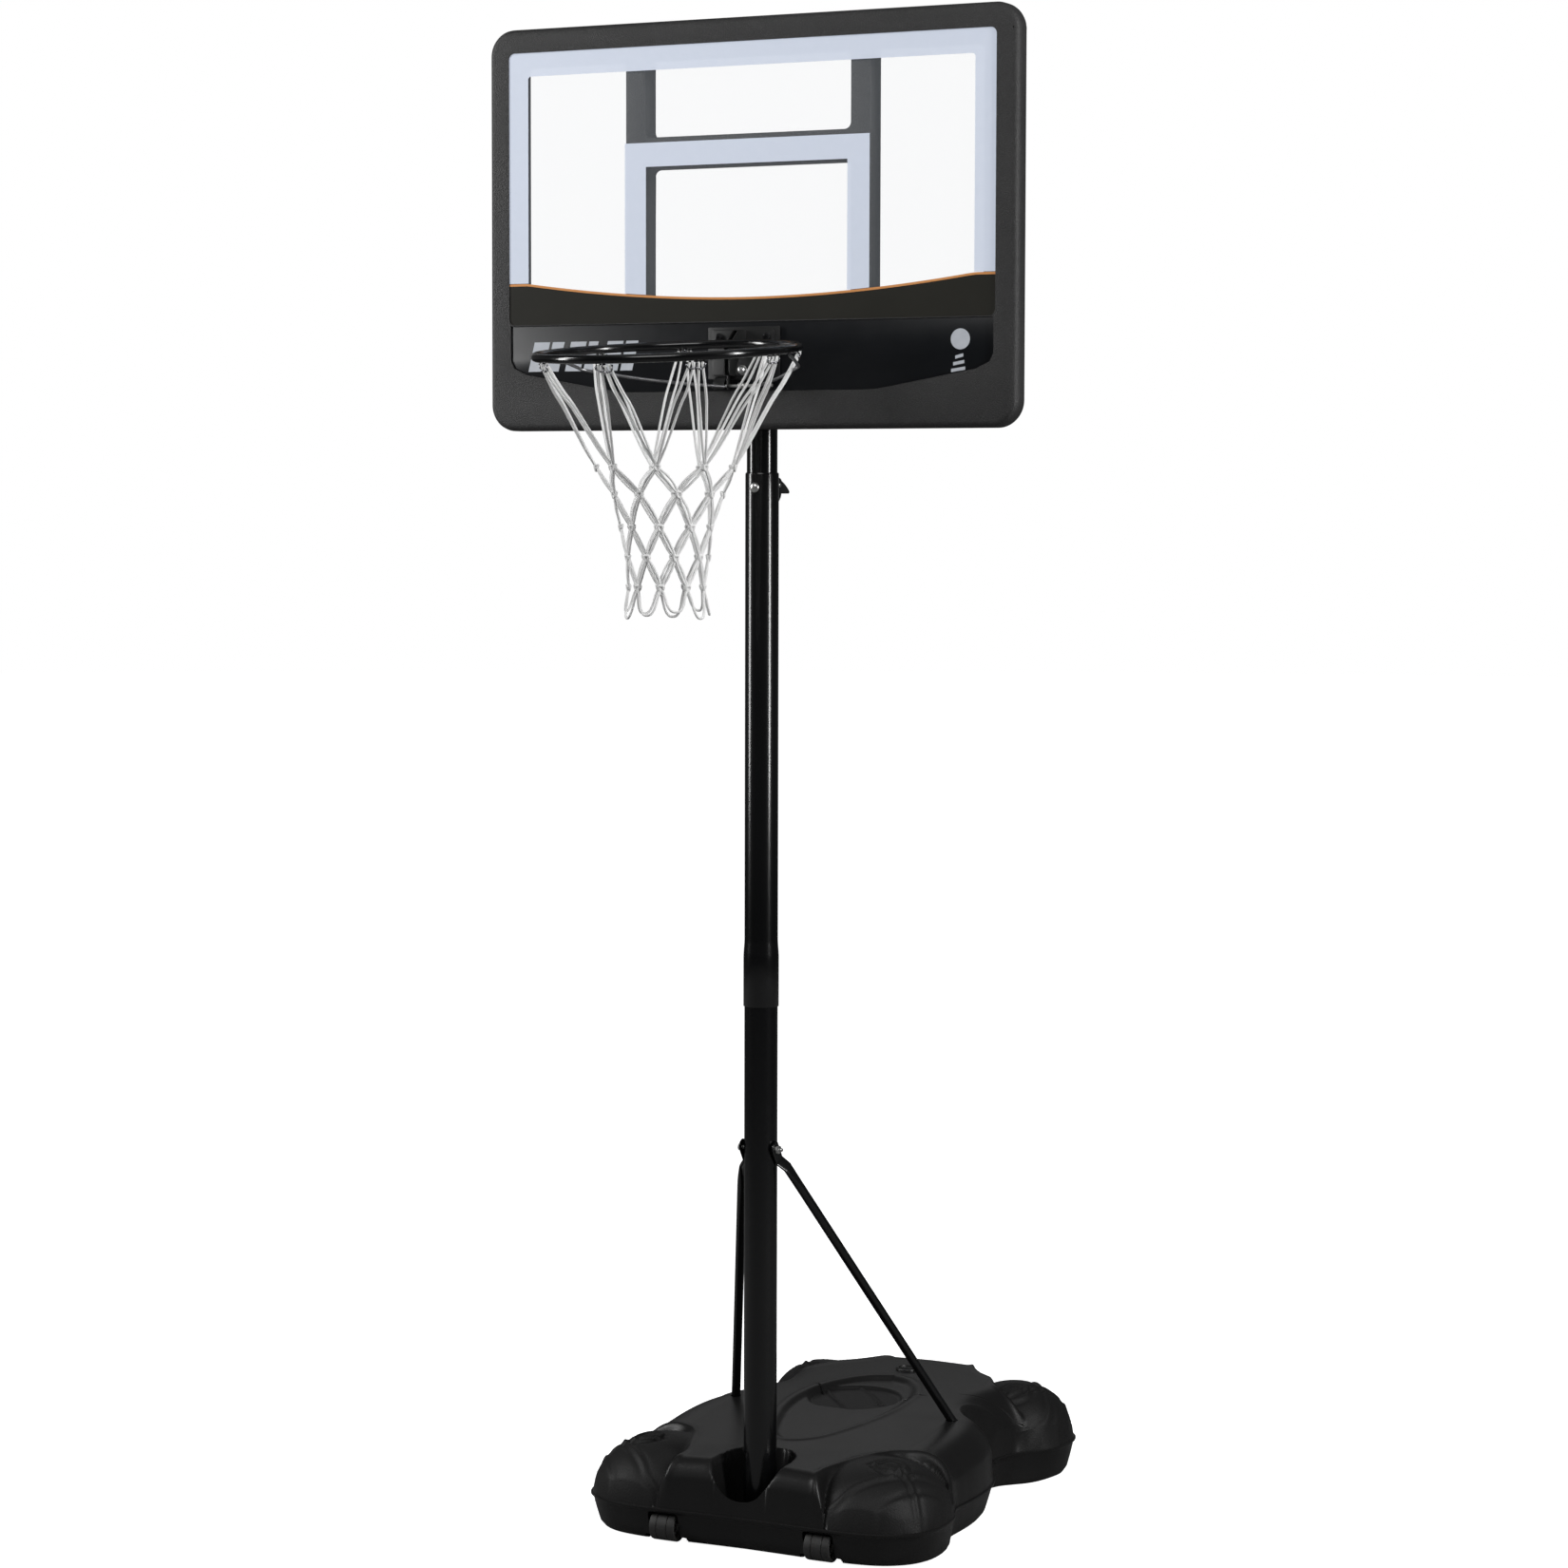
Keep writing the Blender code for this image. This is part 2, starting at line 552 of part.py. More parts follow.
def build_rim_plates(black, steel):
    back = BOARD_FRONT_Y - GAP
    plate_y = back - PLATE_THICKNESS
    fixed = upright("rim_back_plate", rounded((-0.0745, 2.2255), (0.0745, 2.324), 0.004, 2), plate_y, back, black)
    for side in (-1, 1):
        a, b = sorted((0.036 * side, 0.060 * side))
        lug = [
            (back, 2.232), (plate_y, 2.232), (PIVOT.y - 0.004, 2.220), (PIVOT.y - 0.006, 2.214),
            (PIVOT.y - 0.004, 2.208), (PIVOT.y + 0.002, 2.207), (back, 2.212),
        ]
        combine(fixed, sideways(f"add_lug_{side}", lug, a, b, None), "UNION")
    far = Vector((0.07, 0, 0))
    combine(fixed, rod("cut_pin_back", PIVOT - far, PIVOT + far, 0.003 + GAP, None, 12))
    rod("hinge_pin", PIVOT - Vector((0.064, 0, 0)), PIVOT + Vector((0.064, 0, 0)), 0.003, steel, 12)
    coil = [(0.0038, -0.009), (0.0060, -0.009), (0.0060, 0.009), (0.0038, 0.009)]
    turned("rim_spring", coil, PIVOT, Vector((1, 0, 0)), steel, 16)

    front = plate_y - GAP
    face = front - PLATE_THICKNESS
    outline = rounded((-0.0640, 2.2330), (0.0640, 2.318), 0.004, 2)
    moving = upright("rim_front_plate", outline, face, front, black)
    for side in (-1, 1):
        a, b = sorted((0.0260 * side, 0.0290 * side))
        cheek = [
            (front, 2.318), (-0.112, 2.318), (-0.150, 2.268), (-0.150, 2.258), (-0.112, 2.212),
            (-0.090, 2.2075), (PIVOT.y + 0.004, 2.2075), (PIVOT.y + 0.0045, 2.2200), (front, 2.2335),
        ]
        combine(moving, sideways(f"add_cheek_{side}", cheek, a, b, None), "UNION")
    saddle = [(face + 0.001, 2.2600), (-0.1395, 2.2515), (-0.1395, 2.2485), (face + 0.001, 2.2570)]
    combine(moving, sideways("add_saddle", saddle, -0.0275, 0.0275, None), "UNION")
    combine(moving, rod("cut_pin_front", PIVOT - far, PIVOT + far, 0.003 + GAP, None, 12))
    clearance = sweep("cut_ring_seat", ring_path(RING_STEPS), RING_TUBE + GAP, None, 12, True)
    combine(moving, clearance)
    nut = [
        (0.0001, 0.0135), (0.0042, 0.0125), (0.0072, 0.0092), (0.0082, 0.0050), (0.0082, 0.0003), (0.0001, 0.0003),
    ]
    turned("dome_nut", nut, Vector((0.0, face, 2.2430)), Vector((0, -1, 0)), steel, 20)
    head = [(0.0001, 0.0050), (0.0055, 0.0050), (0.0065, 0.0040), (0.0065, 0.0003), (0.0001, 0.0003)]
    for side, name in ((-1, "plate_bolt_left"), (1, "plate_bolt_right")):
        turned(name, head, Vector((0.050 * side, face, 2.3040)), Vector((0, -1, 0)), black, 16)


def ring_path(steps):
    return [on_ring(math.tau * i / steps) for i in range(steps)]


def build_rim(black, steel):
    sweep("rim_ring", ring_path(RING_STEPS), RING_TUBE, black, 10, True)
    for side, name in ((-1, "rim_brace_left"), (1, "rim_brace_right")):
        path = []
        for i in range(5):
            path.append(on_ring(math.radians(95 + 4 * i) * side, RING_RADIUS - 0.001, BRACE_DROP + 0.0035 * i))
        end = Vector((0.0325 * side, -0.092, 2.2125))
        bend = path[-1]
        for t in (0.15, 0.45, 0.75, 1.0):
            path.append(bend.lerp(end, t) - Vector((0, 0, 0.004 * math.sin(math.pi * t))))
        sweep(name, path, 0.003, black, 8)
    for i in range(HOOKS):
        angle = math.tau * (i - HOOKS // 2) / HOOKS
        build_hook(f"net_hook_{i + 1}", angle, steel)


def build_hook(name, angle, look):
    """A bent wire welded under the ring, open at one side for the net's loop."""
    path = []
    for i in range(8):
        turn = math.radians(-90 + 270 * i / 7)
        along = 0.0050 * math.cos(turn)
        drop = RING_TUBE + 0.0022 + 0.0062 + 0.0062 * math.sin(turn)
        path.append(on_ring(angle + along / RING_RADIUS, RING_RADIUS, drop))
    return sweep(name, path[::-1], 0.0018, look, 6)


def build_net(look):
    """The outer shape of the knotted net as one open sleeve."""
    rows = (
        (0.0340, 0.2105), (0.080, 0.182), (0.130, 0.153), (0.192, 0.127), (0.240, 0.101),
        (0.300, 0.083), (0.357, 0.075), (0.412, 0.070), (0.477, 0.078),
    )
    wall = 0.0045
    profile = [(r + wall / 2, -drop) for drop, r in rows] + [(r - wall / 2, -drop) for drop, r in rows[::-1]]
    net = turned("net", profile, RING_CENTRE, Vector((0, 0, 1)), look, 27)
    return net


def main():
    clear_scene()
    plastic = material("black blow-moulded plastic", BLACK_PLASTIC, 0.55)
    roller = material("roller plastic", (0.030, 0.030, 0.030), 0.65)
    coated = material("black powder-coated steel", (0.012, 0.012, 0.013), 0.32, 0.1)
    zinc = material("zinc-plated steel", (0.62, 0.62, 0.60), 0.30, 1.0)
    clear = material("clear acrylic", (0.85, 0.87, 0.90), 0.05)
    cord = material("white net cord", (0.86, 0.86, 0.85), 0.85)
    build_tank(plastic)
    build_fill_cap(plastic)
    for side, name in ((-1, "left"), (1, "right")):
        build_wheel(f"wheel_{name}", side, roller)
        x, half = WHEEL_X * side, AXLE_LENGTH / 2
        rod(f"wheel_axle_{name}", (x - half, WHEEL_Y, WHEEL_Z), (x + half, WHEEL_Y, WHEEL_Z), AXLE_RADIUS, zinc)
        build_strut(f"strut_{name}", side, coated)
    build_pole(coated, zinc, plastic)
    build_strut_bolt(zinc)
    build_height_lock(coated, zinc, plastic)
    build_board(plastic, clear, coated, zinc)
    build_rim_plates(coated, zinc)
    build_rim(coated, zinc)
    build_net(cord)


main()
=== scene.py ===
"""A portable basketball hoop on a blow-moulded ballast base, made piece by piece in the order it is put together."""

import math

import bpy
import numpy as np
from mathutils import Matrix, Vector


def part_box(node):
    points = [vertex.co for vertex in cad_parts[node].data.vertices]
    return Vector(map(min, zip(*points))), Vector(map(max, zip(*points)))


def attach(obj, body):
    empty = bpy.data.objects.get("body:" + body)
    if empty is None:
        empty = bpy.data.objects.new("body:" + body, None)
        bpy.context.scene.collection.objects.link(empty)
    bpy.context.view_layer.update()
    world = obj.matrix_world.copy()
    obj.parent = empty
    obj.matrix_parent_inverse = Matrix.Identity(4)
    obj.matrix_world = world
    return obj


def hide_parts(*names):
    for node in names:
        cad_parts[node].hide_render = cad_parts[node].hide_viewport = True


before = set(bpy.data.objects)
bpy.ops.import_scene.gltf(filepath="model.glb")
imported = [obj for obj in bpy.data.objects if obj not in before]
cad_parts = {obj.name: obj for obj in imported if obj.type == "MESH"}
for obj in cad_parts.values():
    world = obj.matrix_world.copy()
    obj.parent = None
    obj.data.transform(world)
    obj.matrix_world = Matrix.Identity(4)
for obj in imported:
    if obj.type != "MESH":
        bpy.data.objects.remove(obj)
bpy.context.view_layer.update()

# ---------------------------------------------------------------- studio
# A white studio: a pale matt floor, two tall strip boxes that draw the streaks down the pole,
# a wide box overhead for the shoulders of the base, and a soft white surround.
LENS_DISTANCE = 7.3656
AZIMUTH, PITCH, ROLL = math.radians(26.214), math.radians(4.065), math.radians(0.14)
towards = Vector((math.sin(AZIMUTH), -math.cos(AZIMUTH), 0))
sideways = Vector((math.cos(AZIMUTH), math.sin(AZIMUTH), 0))
eye = towards * LENS_DISTANCE + sideways * 0.0427 + Vector((0, 0, 1.9874))
gaze = -towards * math.cos(PITCH) - Vector((0, 0, 1)) * math.sin(PITCH)
level = sideways.cross(gaze)
right = sideways * math.cos(ROLL) + level * math.sin(ROLL)
up = level * math.cos(ROLL) - sideways * math.sin(ROLL)

camera = bpy.data.objects.new("camera", bpy.data.cameras.new("camera"))
bpy.context.scene.collection.objects.link(camera)
camera.data.sensor_width = 36
camera.data.lens = 89.3
camera.matrix_world = Matrix((
    (right.x, up.x, -gaze.x, eye.x),
    (right.y, up.y, -gaze.y, eye.y),
    (right.z, up.z, -gaze.z, eye.z),
    (0, 0, 0, 1),
))
bpy.context.scene.camera = camera
bpy.context.scene.view_settings.view_transform = "Standard"


def soft_box(name, place, aim, wide, tall, power):
    """An area light that faces the point it is aimed at."""
    lamp = bpy.data.lights.new(name, "AREA")
    lamp.shape = "RECTANGLE"
    lamp.size, lamp.size_y, lamp.energy = wide, tall, power
    stand = bpy.data.objects.new(name, lamp)
    bpy.context.scene.collection.objects.link(stand)
    stand.location = place
    stand.rotation_euler = (Vector(aim) - Vector(place)).to_track_quat("-Z", "Y").to_euler()


def around(turn, reach, height):
    """A place at this angle from the lens, as seen from the pole, to the right when positive."""
    a = math.radians(turn)
    return (towards * math.cos(a) + sideways * math.sin(a)) * reach + Vector((0, 0, height))


soft_box("strip_left", around(-91, 4.6, 3.25), (0, 0, 3.2), 0.70, 3.4, 150)
soft_box("strip_right", around(57, 4.6, 3.25), (0, 0, 3.2), 0.50, 3.4, 180)
soft_box("front_high", around(-14, 4.6, 5.6), (0, 0, 2.0), 3.2, 2.4, 105)
soft_box("overhead", (0.2, -0.4, 6.2), (0, 0, 0), 5.0, 5.0, 24)
soft_box("rear_fill", around(180, 6.0, 3.5), (0, 0, 1.2), 4.0, 3.0, 12)

world = bpy.data.worlds.new("surround")
bpy.context.scene.world = world
world.use_nodes = True
air = world.node_tree
air.nodes.clear()
seen = air.nodes.new("ShaderNodeLightPath")
shown, shed = air.nodes.new("ShaderNodeBackground"), air.nodes.new("ShaderNodeBackground")
shown.inputs["Color"].default_value = (1, 1, 1, 1)
shed.inputs["Color"].default_value = (0.97, 0.985, 1, 1)
shed.inputs["Strength"].default_value = 0.06
either, sky = air.nodes.new("ShaderNodeMixShader"), air.nodes.new("ShaderNodeOutputWorld")
air.links.new(seen.outputs["Is Camera Ray"], either.inputs[0])
air.links.new(shed.outputs[0], either.inputs[1])
air.links.new(shown.outputs[0], either.inputs[2])
air.links.new(either.outputs[0], sky.inputs[0])


class Strand:
    """A value in a finish. Sums on it add the Math nodes, and node() adds any other node."""

    def __init__(self, tree, socket=None):
        self.tree, self.socket = tree, socket

    def node(self, kind, settings, sockets, out=0):
        made = self.tree.nodes.new("ShaderNode" + kind)
        for name, value in settings.items():
            if name == "stops":
                stops = made.color_ramp.elements
                while len(stops) < len(value):
                    stops.new(1)
                for stop, (place, shade) in zip(stops, value):
                    stop.position, stop.color = place, (shade, shade, shade, 1)
            else:
                setattr(made, name, value)
        for key, value in sockets.items():
            if isinstance(value, Strand):
                self.tree.links.new(value.socket, made.inputs[key])
            else:
                made.inputs[key].default_value = value
        return Strand(self.tree, made.outputs[out])

    def sum(self, operation, *others):
        return self.node("Math", {"operation": operation}, dict(enumerate((self, *others))))

    def __add__(self, other):
        return self.sum("ADD", other)

    def __mul__(self, other):
        return self.sum("MULTIPLY", other)

    def __sub__(self, other):
        return self.sum("SUBTRACT", other)

    def __rsub__(self, other):
        return self.node("Math", {"operation": "SUBTRACT"}, {0: other, 1: self})

    __radd__, __rmul__ = __add__, __mul__

    def noise(self, scale, detail=3.0, rough=0.5):
        return self.node("TexNoise", {}, {"Vector": self, "Scale": scale, "Detail": detail, "Roughness": rough})

    def cells(self, scale, feature="F1"):
        return self.node("TexVoronoi", {"feature": feature}, {"Vector": self, "Scale": scale})

    def between(self, low, high):
        """0 under low, 1 over high, smooth between."""
        return self.node("MapRange", {"interpolation_type": "SMOOTHSTEP"}, {0: self, 1: low, 2: high})

    def tint(self, dark, light):
        """A colour that goes from dark to light as the value goes from 0 to 1."""
        return self.node("Mix", {"data_type": "RGBA"}, {0: self, 6: (*dark, 1), 7: (*light, 1)}, 2)

    def stretch(self, x, y, z):
        return self.node("Mapping", {}, {"Vector": self, "Scale": (x, y, z)})

    def attribute(self, name):
        return self.node("Attribute", {"attribute_name": name}, {}, "Fac")

    def relief(self, strength, distance):
        return self.node("Bump", {}, {"Strength": strength, "Distance": distance, "Height": self}, "Normal")


def finish(name, roughness=0.5, metallic=0.0, **constants):
    """A new material, and the place on the piece as a value to build on."""
    made = bpy.data.materials.new(name)
    made.use_nodes = True
    shader = made.node_tree.nodes["Principled BSDF"]
    shader.inputs["Roughness"].default_value = roughness
    shader.inputs["Metallic"].default_value = metallic
    for socket, value in constants.items():
        shader.inputs[socket.replace("_", " ")].default_value = value
    return made, Strand(made.node_tree).node("TexCoord", {}, {}, "Object")


def lay(made, **values):
    """Joins what varies over the surface to the material's shader."""
    shader = made.node_tree.nodes["Principled BSDF"]
    for socket, value in values.items():
        made.node_tree.links.new(value.socket, shader.inputs[socket.replace("_", " ")])


def drop_all():
    if bpy.context.object and bpy.context.object.mode != "OBJECT":
        bpy.ops.object.mode_set(mode="OBJECT")
    bpy.ops.object.select_all(action="DESELECT")


def settle(name, look, angle=35):
    """Names the piece just made, puts its place into its mesh, and smooths all but its sharp edges."""
    piece = bpy.context.object
    bpy.ops.object.mode_set(mode="OBJECT")
    drop_all()
    piece.select_set(True)
    bpy.ops.object.transform_apply(location=True, rotation=True, scale=True)
    bpy.ops.object.shade_smooth_by_angle(angle=math.radians(angle))
    piece.name = piece.data.name = name
    piece.data.materials.clear()
    piece.data.materials.append(look)
    return piece


def fit(piece, body, slot, *nodes):
    """The piece rides with its body and stands for its nodes, which it hides. The slot is not used."""
    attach(piece, body)
    if nodes:
        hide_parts(*nodes)
    return piece


drop_all()
bpy.ops.mesh.primitive_circle_add(vertices=96, radius=40, fill_type="NGON", location=(0, 0, -0.0005))
white_floor, spot = finish("white studio floor", 0.9, Emission_Strength=0.96)
straight = spot.node("LightPath", {}, {}, "Is Camera Ray")
lay(white_floor, Emission_Color=straight.tint((0, 0, 0), (1, 1, 1)),
    Base_Color=(straight * (0.92 + spot.noise(0.8) * 0.08)).tint((0.24, 0.24, 0.24), (0.93, 0.93, 0.93)))
settle("floor", white_floor)

# ---------------------------------------------------------------- ballast base
# One blow-moulded polyethylene tank that is filled with water or sand. Four corner domes with ball seams
# nest in a satin body, a well takes the foot of the pole, and a parting line runs round the flange.
FLANGE_Z = 0.065
BASE_MIDDLE_Y = 0.385
FRONT_DOME = (0.232, 0.050, 0.138, 0.149, 0.108)
REAR_DOME = (0.215, 0.745, 0.122, 0.130, 0.116)
ACROSS, ALONG = 244, 328


def dome(x, y, shape):
    cx, cy, rx, ry, height = shape
    return height * np.sqrt(np.clip(1 - (((np.abs(x) - cx) / rx) ** 2 + ((y - cy) / ry) ** 2) ** 1.15, 0, None))


def drawn(points, fine=8):
    """A smooth line through a few points in plan."""
    p = np.array([2 * np.array(points[0]) - points[1], *points, 2 * np.array(points[-1]) - points[-2]], float)
    t = np.linspace(0, 1, fine, endpoint=False)[:, None]
    rows = [0.5 * (2 * b + (c - a) * t + (2 * a - 5 * b + 4 * c - d) * t**2 + (3 * b - a - 3 * c + d) * t**3)
            for a, b, c, d in zip(p, p[1:], p[2:], p[3:])]
    return np.vstack([*rows, p[-2:-1]])


def off_line(x, y, line):
    """Distance from a line in plan, less than 0 on its right side."""
    best, side = np.full(x.shape, 9.0), np.ones(x.shape)
    for (ax, ay), (bx, by) in zip(line, line[1:]):
        dx, dy = bx - ax, by - ay
        t = np.clip(((x - ax) * dx + (y - ay) * dy) / (dx * dx + dy * dy), 0, 1)
        gap = np.hypot(x - ax - t * dx, y - ay - t * dy)
        near = gap < best
        best = np.where(near, gap, best)
        side = np.where(near, np.sign(dx * (y - ay) - dy * (x - ax)), side)
    return best * side


def edge_rise(gap, width):
    """A rounded shoulder: 0 at the edge, 1 from width inwards."""
    t = np.clip(gap / width, 0, 1)
    return np.sqrt(1 - (1 - t) ** 2)


# The right half of the rim of the flange from front to rear, then where the body stops and a dome or the hand pocket
# begins. The body is on the right of each of these.
OUTLINE = drawn([(0, -0.092), (0.090, -0.094), (0.176, -0.096), (0.242, -0.094), (0.300, -0.080), (0.343, -0.048),
                 (0.365, -0.005), (0.371, 0.045), (0.365, 0.098), (0.350, 0.136), (0.340, 0.168), (0.341, 0.215),
                 (0.342, 0.270), (0.337, 0.335), (0.322, 0.395), (0.300, 0.445), (0.274, 0.495), (0.257, 0.545),
                 (0.260, 0.590), (0.270, 0.628), (0.286, 0.650), (0.306, 0.671), (0.322, 0.697), (0.333, 0.735),
                 (0.335, 0.778), (0.318, 0.828), (0.280, 0.864), (0.230, 0.877), (0.180, 0.868), (0.100, 0.864),
                 (0, 0.866)], 5)
FRONT_EDGE = drawn([(0.420, 0.100), (0.352, 0.118), (0.330, 0.138), (0.300, 0.149), (0.262, 0.147), (0.230, 0.131),
                    (0.208, 0.102), (0.194, 0.070), (0.182, 0.038), (0.170, 0.002), (0.163, -0.030), (0.164, -0.062),
                    (0.170, -0.090), (0.176, -0.140)])
REAR_EDGE = drawn([(0.060, 0.960), (0.085, 0.880), (0.110, 0.800), (0.145, 0.750), (0.182, 0.722), (0.200, 0.690),
                   (0.216, 0.670), (0.240, 0.660), (0.268, 0.657), (0.300, 0.659), (0.420, 0.664)])
POCKET_EDGE = drawn([(0.420, 0.590), (0.310, 0.588), (0.280, 0.582), (0.257, 0.566), (0.240, 0.538), (0.232, 0.500),
                     (0.235, 0.460), (0.250, 0.430), (0.275, 0.412), (0.310, 0.402), (0.420, 0.398)])
DOME_SEAMS = [drawn(line) for line in (
    [(0.160, -0.086), (0.200, -0.079), (0.226, -0.058), (0.250, -0.038), (0.276, -0.014), (0.298, 0.011),
     (0.318, 0.040), (0.336, 0.072), (0.346, 0.105), (0.356, 0.140)],
    [(0.276, -0.096), (0.289, -0.076), (0.302, -0.060), (0.318, -0.038), (0.334, -0.012), (0.349, 0.014),
     (0.361, 0.040), (0.370, 0.070)],
    [(0.228, 0.020), (0.252, 0.024), (0.280, 0.020), (0.302, 0.012), (0.322, -0.002), (0.338, -0.016),
     (0.354, -0.034)],
    [(0.234, 0.026), (0.238, 0.048), (0.256, 0.064), (0.278, 0.058), (0.290, 0.038), (0.282, 0.014),
     (0.262, 0.002), (0.242, 0.008), (0.234, 0.026)],
)]
REAR_SEAMS = [drawn(line) for line in (
    [(0.140, 0.870), (0.190, 0.850), (0.230, 0.812), (0.262, 0.775), (0.290, 0.742), (0.308, 0.712),
     (0.310, 0.684), (0.298, 0.655)],
    [(0.236, 0.882), (0.262, 0.856), (0.290, 0.826), (0.314, 0.790), (0.332, 0.750), (0.340, 0.730)],
    [(0.220, 0.668), (0.240, 0.705), (0.262, 0.745), (0.290, 0.785), (0.312, 0.815), (0.330, 0.840)],
    [(0.212, 0.700), (0.222, 0.728), (0.246, 0.728), (0.262, 0.706), (0.252, 0.680), (0.232, 0.668),
     (0.216, 0.676), (0.212, 0.700)],
)]
EMBLEM_RIM = drawn([(0, 0.122), (0.020, 0.130), (0.047, 0.158), (0.068, 0.206), (0.089, 0.270), (0.103, 0.330),
                    (0.109, 0.400), (0.102, 0.480), (0.080, 0.545), (0.045, 0.592), (0, 0.615)])
LEAF_SEAMS = [drawn(line) for line in (
    [(-0.110, 0.525), (-0.066, 0.455), (-0.018, 0.400), (0.014, 0.355)],
    [(-0.048, 0.548), (0.002, 0.500), (0.046, 0.445), (0.080, 0.392)])]


def smooth(t):
    t = np.clip(t, 0, 1)
    return t * t * (3 - 2 * t)


def body_height(x, y):
    """The satin body alone: a plateau that climbs to the rear, crowned across, with a rounded shoulder."""
    plateau = 0.092 + 0.030 * smooth((y + 0.06) / 0.55) + 0.010 * (1 - np.clip(np.abs(x) / 0.24, 0, 1) ** 2)
    t = np.clip(off_line(np.abs(x), y, OUTLINE) / (0.052 + 0.038 * smooth((y - 0.02) / 0.16)), 0, 1)
    return plateau * (1 - (1 - t) ** 2.5) ** (1 / 2.5)


def soft_least(a, b, round_by):
    return -np.log(np.exp(-a / round_by) + np.exp(-b / round_by)) * round_by


def well_height(x, y):
    """Height of the leaning cone that takes the pole, over the floor."""
    low, high = np.zeros(x.shape), np.full(x.shape, 3.0)
    for _ in range(24):
        t = (low + high) / 2
        inside = np.abs(x / (0.050 + 0.024 * t)) ** 2.6 + np.abs((y + 0.038 * t) / (0.046 + 0.050 * t)) ** 2.6 < 1
        low, high = np.where(inside, low, t), np.where(inside, t, high)
    return 0.040 + 0.132 * high


def base_height(x, y):
    """Height of the top skin over the floor, and how much of the place is pebbled dome."""
    ax = np.abs(x)
    domes = [dome(x, y, shape) for shape in (FRONT_DOME, REAR_DOME)]
    body = body_height(x, y)
    gaps = [-off_line(ax, y, line) for line in (FRONT_EDGE, REAR_EDGE, POCKET_EDGE)]
    for gap, width in zip(gaps, (0.026, 0.022, 0.026)):
        body = body * edge_rise(gap + 0.009, width) + 0.0028 * np.exp(-((gap - width * 0.5) / 0.007) ** 2) * (body > 0.03)
    dish = off_line(ax, y, EMBLEM_RIM)
    body = body + (0.0022 * np.exp(-((dish + 0.010) / 0.007) ** 2) - 0.008 * smooth(dish / 0.018 + 0.3)) * (ax < 0.2)
    leaf = np.minimum(0.094 - np.hypot(x + 0.010, y - 0.450), y - 0.362 + 0.06 * x)
    body = body - 0.007 * smooth(leaf / 0.010 + 0.4)
    for line in LEAF_SEAMS:
        seam = np.abs(off_line(x, y, line))
        body = body + 0.0040 * np.exp(-(seam / 0.0038) ** 2) * smooth(leaf / 0.006)
    lobe = np.maximum(*domes)
    for line in DOME_SEAMS + REAR_SEAMS:
        seam = np.abs(off_line(ax, y, line))
        lobe = lobe + 0.0030 * np.exp(-(seam / 0.0036) ** 2) - 0.0026 * np.exp(-((seam - 0.0085) / 0.0045) ** 2)
    top = FLANGE_Z + 0.003 + (np.clip(body, 0, None) ** 20 + np.clip(lobe, 0, None) ** 20) ** (1 / 20)
    well = well_height(x, y)
    top = soft_least(top, well, 0.009) + 0.0035 * np.exp(-((top - well) / 0.013) ** 2)
    pebble = np.maximum(np.clip((lobe - body) / 0.004, 0, 1), np.clip((leaf - 0.004) / 0.004, 0, 1))
    return np.maximum(top, 0.0401), pebble


def base_reach(dx, dy):
    """How far the flange lies from the middle of the base in a direction in plan."""
    turns = np.arctan2(OUTLINE[:, 0], BASE_MIDDLE_Y - OUTLINE[:, 1])
    return np.interp(np.arctan2(np.abs(dx), -dy), np.maximum.accumulate(turns),
                     np.hypot(OUTLINE[:, 0], OUTLINE[:, 1] - BASE_MIDDLE_Y))


def place_all(piece, points):
    piece.data.vertices.foreach_set("co", np.ascontiguousarray(points, np.float32).ravel())
    piece.data.update()


def places(piece):
    points = np.empty(len(piece.data.vertices) * 3)
    piece.data.vertices.foreach_get("co", points)
    return points.reshape(-1, 3)


drop_all()
bpy.ops.mesh.primitive_grid_add(x_subdivisions=ACROSS, y_subdivisions=ALONG, size=2)
tank = bpy.context.object
flat = places(tank)
share = np.abs(flat[:, :2]).max(axis=1)
dx, dy = flat[:, 0] * 0.36, flat[:, 1] * 0.48
length = np.maximum(np.hypot(dx, dy), 1e-9)
dx, dy = dx / length, dy / length
dx[share < 1e-9] = 1
reach = (base_reach(dx, dy) - 0.004) * share
x, y = reach * dx, BASE_MIDDLE_Y + reach * dy
height, pebble = base_height(x, y)
edge = share > 1 - 1e-6
height[edge] = FLANGE_Z + 0.004
place_all(tank, np.column_stack((x, y, height)))
rim_count = int(edge.sum())
bpy.ops.object.mode_set(mode="EDIT")
bpy.ops.mesh.select_all(action="DESELECT")
bpy.ops.mesh.select_mode(type="EDGE")
bpy.ops.object.mode_set(mode="OBJECT")
for line in tank.data.edges:
    line.select = bool(edge[line.vertices[0]] and edge[line.vertices[1]])
bpy.ops.object.mode_set(mode="EDIT")
bpy.ops.mesh.select_mode(type="VERT")
rings = [(0.0, FLANGE_Z + 0.0025), (0.0, FLANGE_Z), (0.003, FLANGE_Z - 0.003), (0.006, FLANGE_Z - 0.005),
         (0.008, 0.050), (0.014, 0.030), (0.020, 0.012), (0.028, 0.003), (0.040, 0.0), (0.060, 0.0)]
for _ in rings:
    bpy.ops.mesh.extrude_region_move(TRANSFORM_OT_translate={"value": (0, 0, -0.001)})
bpy.ops.mesh.edge_face_add()
bpy.ops.object.mode_set(mode="OBJECT")
whole = places(tank)
first = len(flat)
walls = whole[first:].reshape(len(rings), rim_count, 3)
